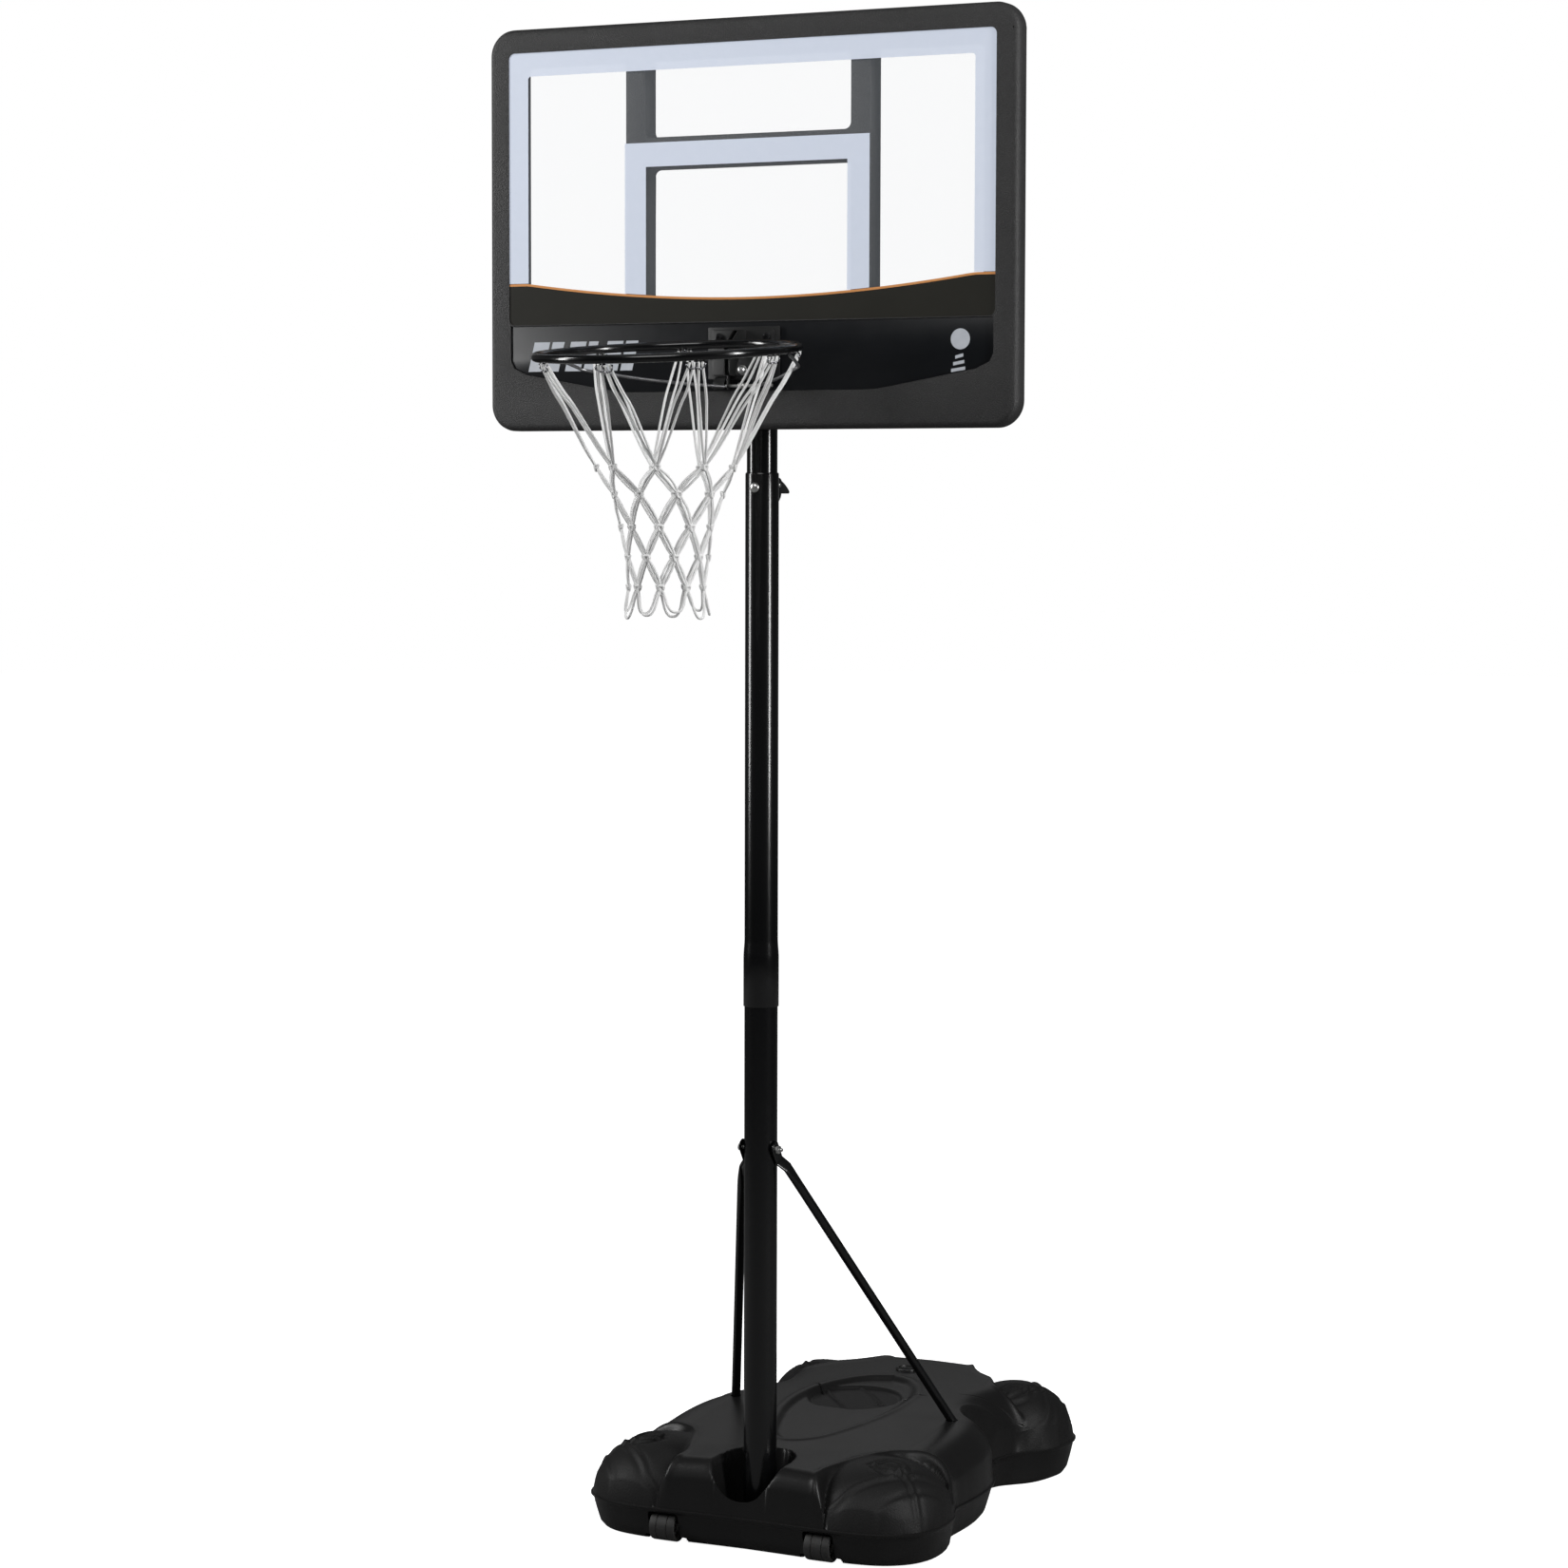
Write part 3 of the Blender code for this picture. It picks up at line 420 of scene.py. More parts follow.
for row, (inset, z) in zip(walls, rings):
    wx, wy = row[:, 0], row[:, 1] - BASE_MIDDLE_Y
    length = np.hypot(wx, wy)
    wx, wy = wx / length, wy / length
    out = base_reach(wx, wy) - inset
    row[:, 0], row[:, 1], row[:, 2] = out * wx, BASE_MIDDLE_Y + out * wy, z
place_all(tank, whole)
tank.data.attributes.new("pebble", "FLOAT", "POINT").data.foreach_set(
    "value", np.concatenate((pebble, np.zeros(len(whole) - first))).astype(np.float32))


def cut_away(piece, *cutters):
    """Boolean cuts, applied, with the cutters thrown away."""
    for cutter in cutters:
        step = piece.modifiers.new("cut", "BOOLEAN")
        step.operation, step.solver, step.object = "DIFFERENCE", "MANIFOLD", cutter
        drop_all()
        piece.select_set(True)
        bpy.context.view_layer.objects.active = piece
        bpy.ops.object.modifier_apply(modifier="cut")
        bpy.data.objects.remove(cutter)
    return piece


def block(low, high, round_by=0.0, segments=3):
    """A block between two corners, its edges rounded."""
    low, high = Vector(low), Vector(high)
    drop_all()
    bpy.ops.mesh.primitive_cube_add(size=1, location=(low + high) / 2, scale=high - low)
    bpy.ops.object.transform_apply(location=True, rotation=True, scale=True)
    if round_by:
        bpy.ops.object.mode_set(mode="EDIT")
        bpy.ops.mesh.select_all(action="SELECT")
        bpy.ops.mesh.bevel(offset=round_by, segments=segments, affect="EDGES")
        bpy.ops.object.mode_set(mode="OBJECT")
    return bpy.context.object


def bar(start, end, radius, sides=32):
    """A plain round bar between two points."""
    start, end = Vector(start), Vector(end)
    drop_all()
    turn = (end - start).to_track_quat("Z", "Y").to_euler()
    bpy.ops.mesh.primitive_cylinder_add(vertices=sides, radius=radius, depth=(end - start).length,
                                        location=(start + end) / 2, rotation=turn)
    bpy.ops.object.transform_apply(location=True, rotation=True, scale=True)
    return bpy.context.object


FILL_Y = 0.685
WHEEL_X, WHEEL_Y, WHEEL_Z = 0.165, -0.069, 0.030
STRUT_TOP, STRUT_ENTRY = Vector((0.0352, -0.006, 0.767)), Vector((0.239, 0.368, 0.188))


def flip(point, side):
    return Vector((point.x * side, point.y, point.z))


cutters = [bar((0, FILL_Y, 0.13), (0, FILL_Y, 0.30), 0.017, 40)]
for side in (-1, 1):
    cutters.append(block((WHEEL_X * side - 0.032, -0.16, -0.02), (WHEEL_X * side + 0.032, -0.034, 0.0595), 0.006))
    cutters.append(block((WHEEL_X * side - 0.045, -0.16, -0.02), (WHEEL_X * side + 0.045, -0.050, 0.012), 0.004))
    lean = (flip(STRUT_ENTRY, side) - flip(STRUT_TOP, side)).normalized()
    cutters.append(bar(flip(STRUT_ENTRY, side) - lean * 0.10, flip(STRUT_ENTRY, side) + lean * 0.05, 0.0105))
cut_away(tank, *cutters)
bpy.context.view_layer.objects.active = tank

moulded, spot = finish("blow-moulded black polyethylene", 0.42, Specular_IOR_Level=0.25)
patch, skin = spot.noise(9, 4), spot.noise(900, 2)
pebbled = spot.attribute("pebble")
grain = spot.cells(330, "SMOOTH_F1")
low_down = 1 - spot.node("SeparateXYZ", {}, {"Vector": spot}, "Z").between(0.0, 0.05)
shade = (patch * 0.55 + skin * 0.35 + low_down * 0.35)
lay(moulded, Base_Color=shade.tint((0.0060, 0.0060, 0.0062), (0.0130, 0.0127, 0.0125)),
    Roughness=0.31 + patch * 0.08 + pebbled * 0.20 + low_down * 0.14,
    Normal=(grain * pebbled * 0.9 + skin * 0.25 + spot.noise(160, 2) * 0.25).relief(0.35, 0.0012))
settle("ballast_base", moulded, 50)
fit(tank, "base", "black_plastic", "base_tank")

# ---------------------------------------------------------------- fill cap
# A black screw plug in the filling hole: a turned rim, a deep finger well and a grip bar across it.


def spun(profile, steps=64, place=(0, 0, 0), turn=(0, 0, 0)):
    """Turns a chain of (radius, height) points once round and closes its seam."""
    drop_all()
    chain = bpy.data.meshes.new("turned")
    chain.from_pydata([(r, 0, h) for r, h in profile], [(i, i + 1) for i in range(len(profile) - 1)], [])
    piece = bpy.data.objects.new("turned", chain)
    bpy.context.scene.collection.objects.link(piece)
    bpy.context.view_layer.objects.active = piece
    piece.select_set(True)
    bpy.ops.object.mode_set(mode="EDIT")
    bpy.ops.mesh.select_all(action="SELECT")
    bpy.ops.mesh.spin(steps=steps, angle=math.tau, center=(0, 0, 0), axis=(0, 0, 1))
    bpy.ops.mesh.select_all(action="SELECT")
    bpy.ops.mesh.remove_doubles(threshold=2e-5)
    bpy.ops.mesh.normals_make_consistent(inside=False)
    bpy.ops.object.mode_set(mode="OBJECT")
    piece.rotation_euler, piece.location = turn, place
    bpy.ops.object.transform_apply(location=True, rotation=True, scale=True)
    return piece


def join(*pieces):
    drop_all()
    for piece in pieces:
        piece.select_set(True)
    bpy.context.view_layer.objects.active = pieces[0]
    bpy.ops.object.join()
    return pieces[0]


CAP_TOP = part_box("fill_cap")[1].z
cap = spun([(0, -0.039), (0.014, -0.039), (0.0155, -0.035), (0.0164, -0.009), (0.0238, -0.0078), (0.0240, -0.0030),
            (0.0228, -0.0010), (0.0208, 0), (0.0192, -0.0004), (0.0182, -0.0030), (0.0176, -0.0110),
            (0.0160, -0.0130), (0, -0.0130)], 48)
grip = block((-0.0165, -0.0024, -0.0138), (0.0165, 0.0024, -0.0012), 0.0012)
nibs = []
for i in range(16):
    a = math.tau * (i + 0.5) / 16
    nib = bar((math.cos(a) * 0.0234, math.sin(a) * 0.0234, -0.0074),
              (math.cos(a) * 0.0234, math.sin(a) * 0.0234, -0.0022),
              0.0014, 8)
    nibs.append(nib)
cap = join(cap, grip, *nibs)
cap.location = (0, FILL_Y, CAP_TOP)
cap_plastic, spot = finish("black cap plastic", 0.38)
lay(cap_plastic, Base_Color=spot.noise(60).tint((0.004, 0.004, 0.004), (0.012, 0.012, 0.012)),
    Roughness=0.30 + spot.noise(140) * 0.2, Normal=spot.noise(700).relief(0.2, 0.0004))
fit(settle("fill_cap_plug", cap_plastic), "cap", "black_plastic", "fill_cap")

# ---------------------------------------------------------------- rollers
# Two barrel rollers under the front edge, moulded hollow with a rib ring in each face, that turn on
# short zinc-plated axles pressed into the base.
roller_plastic, spot = finish("scuffed roller plastic", 0.55)
worn = spot.stretch(1, 1, 6).noise(70, 4)
lay(roller_plastic, Base_Color=worn.tint((0.006, 0.006, 0.006), (0.030, 0.029, 0.028)), Roughness=0.45 + worn * 0.3,
    Normal=spot.noise(500, 3).relief(0.4, 0.0008))
axle_zinc, spot = finish("zinc-plated steel", 0.3, 1.0)
cloud = spot.noise(120, 4)
lay(axle_zinc, Base_Color=cloud.tint((0.50, 0.50, 0.50), (0.78, 0.78, 0.76)), Roughness=0.22 + cloud * 0.2)
tread = [(0.0044, -0.0285), (0.0090, -0.0285), (0.0100, -0.0275), (0.0102, -0.0210), (0.0205, -0.0210),
         (0.0225, -0.0265), (0.0250, -0.0270), (0.0276, -0.0255), (0.0284, -0.0235)]
tread += [(0.0284, -0.0125), (0.0272, -0.0115), (0.0272, -0.0105), (0.0284, -0.0095)]
tread = tread + [(r, -h) for r, h in reversed(tread)] + [tread[0]]
for side, name in ((-1, "left"), (1, "right")):
    middle = Vector((WHEEL_X * side, WHEEL_Y, WHEEL_Z))
    roller = spun(tread, 72)
    ribs = []
    for face in (-1, 1):
        for i in range(6):
            a = math.tau * i / 6
            rib = block((0.0098, -0.0012, 0.0200), (0.0215, 0.0012, 0.0255), 0.0004, 2)
            rib.matrix_world = Matrix.Rotation(a, 4, "Z") @ Matrix.Rotation(math.pi * (face < 0), 4, "X")
            ribs.append(rib)
    join(roller, *ribs)
    roller.rotation_euler, roller.location = (0, math.pi / 2, 0), middle
    fit(settle(f"roller_{name}", roller_plastic), f"wheel_{name}", "roller", f"wheel_{name}")
    axle = spun([(0, -0.0405), (0.0032, -0.0405), (0.0040, -0.0397), (0.0040, 0.0397), (0.0032, 0.0405),
                 (0, 0.0405)], 32)
    axle.rotation_euler, axle.location = (0, math.pi / 2, 0), middle
    fit(settle(f"roller_axle_{name}", axle_zinc), "base", "zinc", f"wheel_axle_{name}")

# ---------------------------------------------------------------- pole
# Three black powder-coated steel tubes that telescope: the lower one stands in the well of the base, the
# middle one is swaged out over it, and the thinner upper one slides out of the middle one with the board.
LOWER_RADIUS, UPPER_RADIUS, SWAGE_RADIUS, TUBE_WALL = 0.03175, 0.029, 0.0337, 0.0016
LOWER_TOP_Z, MIDDLE_TOP_Z, UPPER_BOTTOM_Z, UPPER_TOP_Z = 1.135, 2.053, 1.040, 2.365
SWAGE_BOTTOM_Z, SWAGE_TOP_Z = 1.040, 1.140


def coat(name, dark, light, roughness, peel):
    made, spot = finish(name, roughness, Specular_IOR_Level=0.5)
    drift, speck = spot.stretch(1, 1, 0.25).noise(14, 3), spot.noise(1400, 2)
    lay(made, Base_Color=(drift * 0.6 + speck * 0.4).tint(dark, light), Roughness=roughness - 0.05 + drift * 0.10,
        Normal=(spot.noise(380, 2) * 0.7 + speck * 0.3).relief(peel, 0.0005))
    return made


satin_coat = coat("satin black powder coat", (0.0016, 0.0017, 0.0019), (0.0042, 0.0044, 0.0048), 0.19, 0.11)
gloss_coat = coat("gloss black powder coat", (0.0014, 0.0015, 0.0017), (0.0038, 0.0040, 0.0044), 0.16, 0.08)


def tube_profile(radius, low, high, wall=TUBE_WALL, lip=0.0006):
    inner = radius - wall
    return [(inner, low), (radius - lip, low), (radius, low + lip), (radius, high - lip), (radius - lip, high),
            (inner, high), (inner, low)]


spun(tube_profile(LOWER_RADIUS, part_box("pole_lower")[0].z, LOWER_TOP_Z), 96)
fit(settle("pole_lower_tube", satin_coat), "base", "black_steel", "pole_lower")
inner = LOWER_RADIUS - TUBE_WALL
spun([(LOWER_RADIUS + 0.0003, SWAGE_BOTTOM_Z), (SWAGE_RADIUS - 0.0004, SWAGE_BOTTOM_Z),
      (SWAGE_RADIUS, SWAGE_BOTTOM_Z + 0.0006),
      (SWAGE_RADIUS, SWAGE_TOP_Z - 0.004), (SWAGE_RADIUS - 0.0003, SWAGE_TOP_Z + 0.002),
      (LOWER_RADIUS + 0.0003, SWAGE_TOP_Z + 0.021), (LOWER_RADIUS, SWAGE_TOP_Z + 0.027),
      (LOWER_RADIUS, MIDDLE_TOP_Z - 0.0030), (LOWER_RADIUS - 0.0006, MIDDLE_TOP_Z - 0.0008),
      (LOWER_RADIUS - 0.0013, MIDDLE_TOP_Z), (inner + 0.0001, MIDDLE_TOP_Z - 0.0004),
      (inner, MIDDLE_TOP_Z - 0.004), (inner, SWAGE_TOP_Z + 0.027), (LOWER_RADIUS + 0.0003, SWAGE_TOP_Z),
      (LOWER_RADIUS + 0.0003, SWAGE_BOTTOM_Z)], 96)
fit(settle("pole_middle_tube", satin_coat), "base", "black_steel", "pole_middle")
spun(tube_profile(UPPER_RADIUS, UPPER_BOTTOM_Z, UPPER_TOP_Z), 96)
fit(settle("pole_upper_tube", gloss_coat), "upper", "black_steel", "pole_upper")
spun([(0, UPPER_TOP_Z - 0.015), (0.0268, UPPER_TOP_Z - 0.015), (0.0270, UPPER_TOP_Z + 0.0004),
      (0.0290, UPPER_TOP_Z + 0.0004),
      (0.0290, UPPER_TOP_Z + 0.0022), (0.0275, UPPER_TOP_Z + 0.0038), (0.0200, UPPER_TOP_Z + 0.0040),
      (0.0190, UPPER_TOP_Z + 0.0030), (0, UPPER_TOP_Z + 0.0030)], 64)
fit(settle("pole_end_cap", cap_plastic), "upper", "black_plastic", "pole_top_cap")
WELL_FLOOR_Z = 0.040
spun([(0, WELL_FLOOR_Z + 0.0004), (0.0310, WELL_FLOOR_Z + 0.0004), (0.0317, WELL_FLOOR_Z + 0.0012),
      (0.0317, WELL_FLOOR_Z + 0.0036), (0.0296, WELL_FLOOR_Z + 0.0037), (0.0285, WELL_FLOOR_Z + 0.0215),
      (0, WELL_FLOOR_Z + 0.0220)], 64)
fit(settle("pole_foot", cap_plastic), "base", "black_plastic", "pole_foot_plug")
LOCK_Z = 2.025
spun([(0, 0.0065), (0.0022, 0.0064), (0.0046, 0.0058), (0.0068, 0.0047), (0.0086, 0.0031), (0.0096, 0.0014),
      (0.0098, 0.0003), (0.0036, 0.0003), (0.0036, -0.0020), (0, -0.0020)], 40,
     (0, -LOWER_RADIUS, LOCK_Z), (math.pi / 2, 0, 0))
fit(settle("lock_rivet_head", axle_zinc), "base", "zinc", "lock_rivet")

# ---------------------------------------------------------------- struts
# Two steel tubes that run from a bolt through the pole down into sockets in the base. Their tops are
# pressed flat, bent against the pole and drilled for the bolt.
SOCKET_DEPTH = 0.045


def skinned(rings):
    """A skin over a row of rings. A filled circle is extruded once for each ring, then each is put in place."""
    drop_all()
    sides = len(rings[0])
    bpy.ops.mesh.primitive_circle_add(vertices=sides, fill_type="NGON")
    piece = bpy.context.object
    bpy.ops.object.mode_set(mode="EDIT")
    bpy.ops.mesh.select_all(action="SELECT")
    for _ in rings[1:]:
        bpy.ops.mesh.extrude_region_move(TRANSFORM_OT_translate={"value": (0, 0, 0.01)})
    bpy.ops.object.mode_set(mode="OBJECT")
    place_all(piece, np.array([tuple(p) for ring in rings for p in ring]))
    bpy.ops.object.mode_set(mode="EDIT")
    bpy.ops.mesh.select_all(action="SELECT")
    bpy.ops.mesh.normals_make_consistent(inside=False)
    bpy.ops.object.mode_set(mode="OBJECT")
    return piece


def oval(middle, along, wide, thick, power=2.0, sides=32):
    """A ring square to a direction, thick across the pole's side and wide along it."""
    along = along.normalized()
    first = (Vector((1, 0, 0)) - along * along.x).normalized()
    second = along.cross(first)
    ring = []
    for i in range(sides):
        a = math.tau * i / sides
        c, s = math.cos(a), math.sin(a)
        ring.append(middle + first * math.copysign(abs(c) ** (2 / power), c) * thick
                    + second * math.copysign(abs(s) ** (2 / power), s) * wide)
    return ring


for side, name in ((-1, "left"), (1, "right")):
    top, entry = flip(STRUT_TOP, side), flip(STRUT_ENTRY, side)
    lean = (entry - top).normalized()
    flat = Vector((0, lean.y, lean.z)).normalized()
    rings = [oval(top - flat * back, flat, wide, 0.0015, 4) for back, wide in
             ((0.0152, 0.0050), (0.0140, 0.0085), (0.0115, 0.0110), (0.0070, 0.0130), (0.0, 0.0136),
              (-0.0160, 0.0136))]
    rings.append(oval(top + flat * 0.028, flat * 0.7 + lean * 0.3, 0.0134, 0.0019, 3.5))
    for way, share in ((0.045, 0.22), (0.058, 0.48), (0.072, 0.75), (0.088, 0.94), (0.104, 1.0)):
        rings.append(oval(top + lean * way, lean, 0.0134 + (0.0090 - 0.0134) * share, 0.0019 + 0.0071 * share,
                          2 + 1.5 * (1 - share)))
    rings.append(oval(entry + lean * SOCKET_DEPTH, lean, 0.0090, 0.0090))
    skinned(rings)
    fit(settle(f"strut_tube_{name}", satin_coat), "base", "black_steel", f"strut_{name}")


def hex_nut(across, deep, bore, crown=0.0008):
    """A hexagon with its corners turned off, and a hole through it. It stands on the floor of its own frame."""
    drop_all()
    bpy.ops.mesh.primitive_cylinder_add(vertices=6, radius=across / math.sqrt(3), depth=deep,
                                        location=(0, 0, deep / 2))
    nut = bpy.context.object
    bpy.ops.object.transform_apply(location=True, rotation=True, scale=True)
    shell = spun([(0, 0), (across * 0.5, 0), (across * 0.59, crown), (across * 0.59, deep - crown),
                  (across * 0.5, deep),
                  (0, deep)], 48)
    step = nut.modifiers.new("turned", "BOOLEAN")
    step.operation, step.solver, step.object = "INTERSECT", "EXACT", shell
    drop_all()
    nut.select_set(True)
    bpy.context.view_layer.objects.active = nut
    bpy.ops.object.modifier_apply(modifier="turned")
    bpy.data.objects.remove(shell)
    if bore:
        cut_away(nut, bar((0, 0, -0.01), (0, 0, deep + 0.01), bore, 32))
    bpy.context.view_layer.objects.active = nut
    return nut


def bolt_end(radius, low, high, pitch=0.00125):
    """The threaded end of a bolt, with turned grooves and a chamfered tip."""
    chain = [(0, low)]
    rows = int((high - low - 0.001) / pitch)
    for i in range(rows):
        z = low + pitch * i
        chain += [(radius * 0.88, z), (radius, z + pitch * 0.5)]
    return spun(chain + [(radius * 0.88, high - 0.0008), (radius * 0.75, high), (0, high)], 32)


bolt_z, bolt_out = STRUT_TOP.z, STRUT_TOP.x + 0.0019
shank = spun([(0, -bolt_out), (0.0038, -bolt_out), (0.0038, bolt_out), (0, bolt_out)], 32)
head = hex_nut(0.0130, 0.0060, 0)
head.location = (0, 0, -bolt_out - 0.0062)
thread = bolt_end(0.0038, bolt_out - 0.001, bolt_out + 0.0122)
bolt = join(shank, head, thread)
bolt.rotation_euler, bolt.location = (0, math.pi / 2, 0), (0, STRUT_TOP.y, bolt_z)
fit(settle("strut_through_bolt", axle_zinc), "base", "zinc", "strut_bolt")
nut = hex_nut(0.0138, 0.0064, 0.0041)
nut.rotation_euler, nut.location = (0, math.pi / 2, 0), (bolt_out + 0.0002, STRUT_TOP.y, bolt_z)
fit(settle("strut_hex_nut", axle_zinc), "base", "zinc", "strut_nut")

# ---------------------------------------------------------------- height lock
# A folded bracket riveted to the back of the middle tube carries a black cam lever. Its nose presses a
# friction pad on the upper tube, which holds the board at any height.
PIVOT_Y, PIVOT_Z = 0.056, 2.030


def slab(outline, axis, near, far, round_by=0.0, segments=2):
    """Fills an outline, thickens it along an axis and rounds its edges. The outline's two values are the other axes."""
    drop_all()
    order = {"X": lambda a, b, c: (c, a, b), "Y": lambda a, b, c: (a, c, b), "Z": lambda a, b, c: (a, b, c)}[axis]
    blank = bpy.data.meshes.new("slab")
    blank.from_pydata([order(a, b, near) for a, b in outline], [], [list(range(len(outline)))])
    piece = bpy.data.objects.new("slab", blank)
    bpy.context.scene.collection.objects.link(piece)
    bpy.context.view_layer.objects.active = piece
    piece.select_set(True)
    bpy.ops.object.mode_set(mode="EDIT")
    bpy.ops.mesh.select_all(action="SELECT")
    bpy.ops.mesh.extrude_region_move(TRANSFORM_OT_translate={"value": order(0, 0, far - near)})
    bpy.ops.mesh.select_all(action="SELECT")
    bpy.ops.mesh.normals_make_consistent(inside=False)
    if round_by:
        bpy.ops.mesh.select_all(action="DESELECT")
        bpy.ops.mesh.select_mode(type="EDGE")
        bpy.ops.mesh.edges_select_sharp(sharpness=math.radians(25))
        bpy.ops.mesh.bevel(offset=round_by, segments=segments, affect="EDGES", clamp_overlap=True)
    bpy.ops.object.mode_set(mode="OBJECT")
    return piece


def rounded(low, high, radius, steps=8):
    """A rectangle with rounded corners, as a list of points."""
    points = []
    for quarter, (a, b) in enumerate(((high[0], high[1]), (low[0], high[1]), (low[0], low[1]), (high[0], low[1]))):
        ca = a - radius if a == high[0] else a + radius
        cb = b - radius if b == high[1] else b + radius
        for i in range(steps + 1):
            turn = math.pi / 2 * (quarter + i / steps)
            points.append((ca + radius * math.cos(turn), cb + radius * math.sin(turn)))
    return points


CHEEK_X = 0.0072
cheek = [(0.0321, 1.995), (0.0481, 1.995), (0.060, 2.006), (0.0655, 2.018), (0.066, 2.034), (0.062, 2.041),
         (0.056, 2.0438), (0.0321, 2.044)]
for side, name in ((-1, "left"), (1, "right")):
    slab(cheek, "X", *sorted((CHEEK_X * side, (CHEEK_X + 0.0025) * side)), 0.0005)
    fit(settle(f"lock_bracket_{name}", satin_coat), "base", "black_steel", f"lock_cheek_{name}")
handle = [(-0.009, -0.0020), (-0.007, -0.0080), (0, -0.0125), (0.015, -0.0148), (0.030, -0.0158), (0.046, -0.0160),
          (0.0495, -0.0145), (0.0485, -0.0105), (0.042, -0.0055), (0.036, -0.0015), (0.028, 0.0030), (0.020, 0.0065),
          (0.013, 0.0098), (0.006, 0.0113), (0.0, 0.0105), (-0.006, 0.0075)]
slab([(PIVOT_Y + a, PIVOT_Z + b) for a, b in handle], "X", -0.0064, 0.0064, 0.0014, 3)
fit(settle("cam_lever", cap_plastic, 50), "lever", "black_plastic", "height_lever")
spun([(0, -0.0112), (0.0040, -0.0112), (0.0046, -0.0104), (0.0046, -0.0099), (0.0030, -0.0099),
      (0.0030, 0.0099),
      (0.0044, 0.0099), (0.0044, 0.0104), (0.0036, 0.0112), (0, 0.0112)], 32, (0, PIVOT_Y, PIVOT_Z),
      (0, math.pi / 2, 0))
fit(settle("lever_rivet", axle_zinc), "base", "zinc", "lever_pin")
pad_low, pad_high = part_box("brake_pad")
block(pad_low, pad_high, 0.0012)
fit(settle("friction_pad", cap_plastic), "base", "black_plastic", "brake_pad")

# ---------------------------------------------------------------- board frame
# A one-piece moulded surround with a fine pebbled skin. Its window holds the clear sheet in a rebate, and
# its deep lower rail has a sunk panel with a shallow V-shaped foot, where the rim bolts on.
BOARD_HALF, BOARD_BOTTOM_Z, BOARD_TOP_Z = 0.551, 2.133, 2.898
BOARD_FRONT_Y, BOARD_BACK_Y = -0.074, -0.034
WINDOW_HALF, WINDOW_BOTTOM_Z, WINDOW_TOP_Z = 0.507, 2.335, 2.852
SHEET_FRONT_Y, SHEET_BACK_Y = BOARD_FRONT_Y + 0.0015, BOARD_FRONT_Y + 0.0045


def ringed(outlines):
    """A skin over rings of points given as (y, [(x, z), ...]), capped at both ends."""
    return skinned([[Vector((a, y, b)) for a, b in outline] for y, outline in outlines])


def frame_ring(y, inset):
    return y, rounded((-BOARD_HALF + inset, BOARD_BOTTOM_Z + inset), (BOARD_HALF - inset, BOARD_TOP_Z - inset),
                      0.050 - inset, 14)


surround = ringed([frame_ring(y, inset) for y, inset in (
    (BOARD_FRONT_Y, 0.0125), (BOARD_FRONT_Y + 0.0005, 0.0092), (BOARD_FRONT_Y + 0.0020, 0.0060),
    (BOARD_FRONT_Y + 0.0045, 0.0033), (BOARD_FRONT_Y + 0.0085, 0.0012), (BOARD_FRONT_Y + 0.0140, 0),
    (BOARD_BACK_Y - 0.0060, 0),
    (BOARD_BACK_Y - 0.0030, 0.0009), (BOARD_BACK_Y - 0.0009, 0.0030), (BOARD_BACK_Y, 0.0060))])
rebate = slab(rounded((-WINDOW_HALF, WINDOW_BOTTOM_Z), (WINDOW_HALF, WINDOW_TOP_Z), 0.012), "Y", -0.10,
              SHEET_BACK_Y + 0.0002)
window = slab(rounded((-WINDOW_HALF + 0.0255, WINDOW_BOTTOM_Z + 0.012),
                      (WINDOW_HALF - 0.0255, WINDOW_TOP_Z - 0.0255), 0.012),
              "Y", -0.10, 0.0)
PANEL = [(-0.504, 2.3335), (-0.504, 2.268), (-0.497, 2.253), (-0.470, 2.240), (-0.290, 2.2085), (-0.270, 2.2055),
         (-0.240, 2.204), (0.240, 2.204), (0.270, 2.2055), (0.290, 2.2085), (0.470, 2.240), (0.497, 2.253),
         (0.504, 2.268), (0.504, 2.3335)]
sunk = slab(PANEL, "Y", -0.10, BOARD_FRONT_Y + 0.003)
hollows = [slab(rounded((-0.535, 2.149), (-0.050, 2.318), 0.030), "Y", -0.052, 0.0),
           slab(rounded((0.050, 2.149), (0.535, 2.318), 0.030), "Y", -0.052, 0.0)]
cut_away(surround, rebate, window, sunk, *hollows)
bpy.context.view_layer.objects.active = surround
ribs = [surround]
for side in (-1, 1):
    for i in range(4):
        a = side * (0.147 + 0.097 * i)
        ribs.append(block((a - 0.0015, -0.0525, 2.1500), (a + 0.0015, -0.0365, 2.3170), 0.0005, 1))
    ribs.append(block((min(side * 0.051, side * 0.534), -0.0525, 2.2320),
                      (max(side * 0.051, side * 0.534), -0.0365, 2.2350), 0.0005, 1))
join(*ribs)
board_plastic, spot = finish("pebbled black board plastic", 0.5, Specular_IOR_Level=0.40)
pebble = spot.cells(520, "SMOOTH_F1")
cloudy = spot.noise(7, 4)
lay(board_plastic, Base_Color=(cloudy * 0.5 + pebble * 0.6).tint((0.0050, 0.0050, 0.0053), (0.0430, 0.0426, 0.0430)),
    Roughness=0.46 + cloudy * 0.12, Normal=(pebble * 0.8 + spot.noise(900, 2) * 0.3).relief(0.80, 0.0013))
fit(settle("board_surround", board_plastic, 30), "upper", "black_plastic", "board_frame")

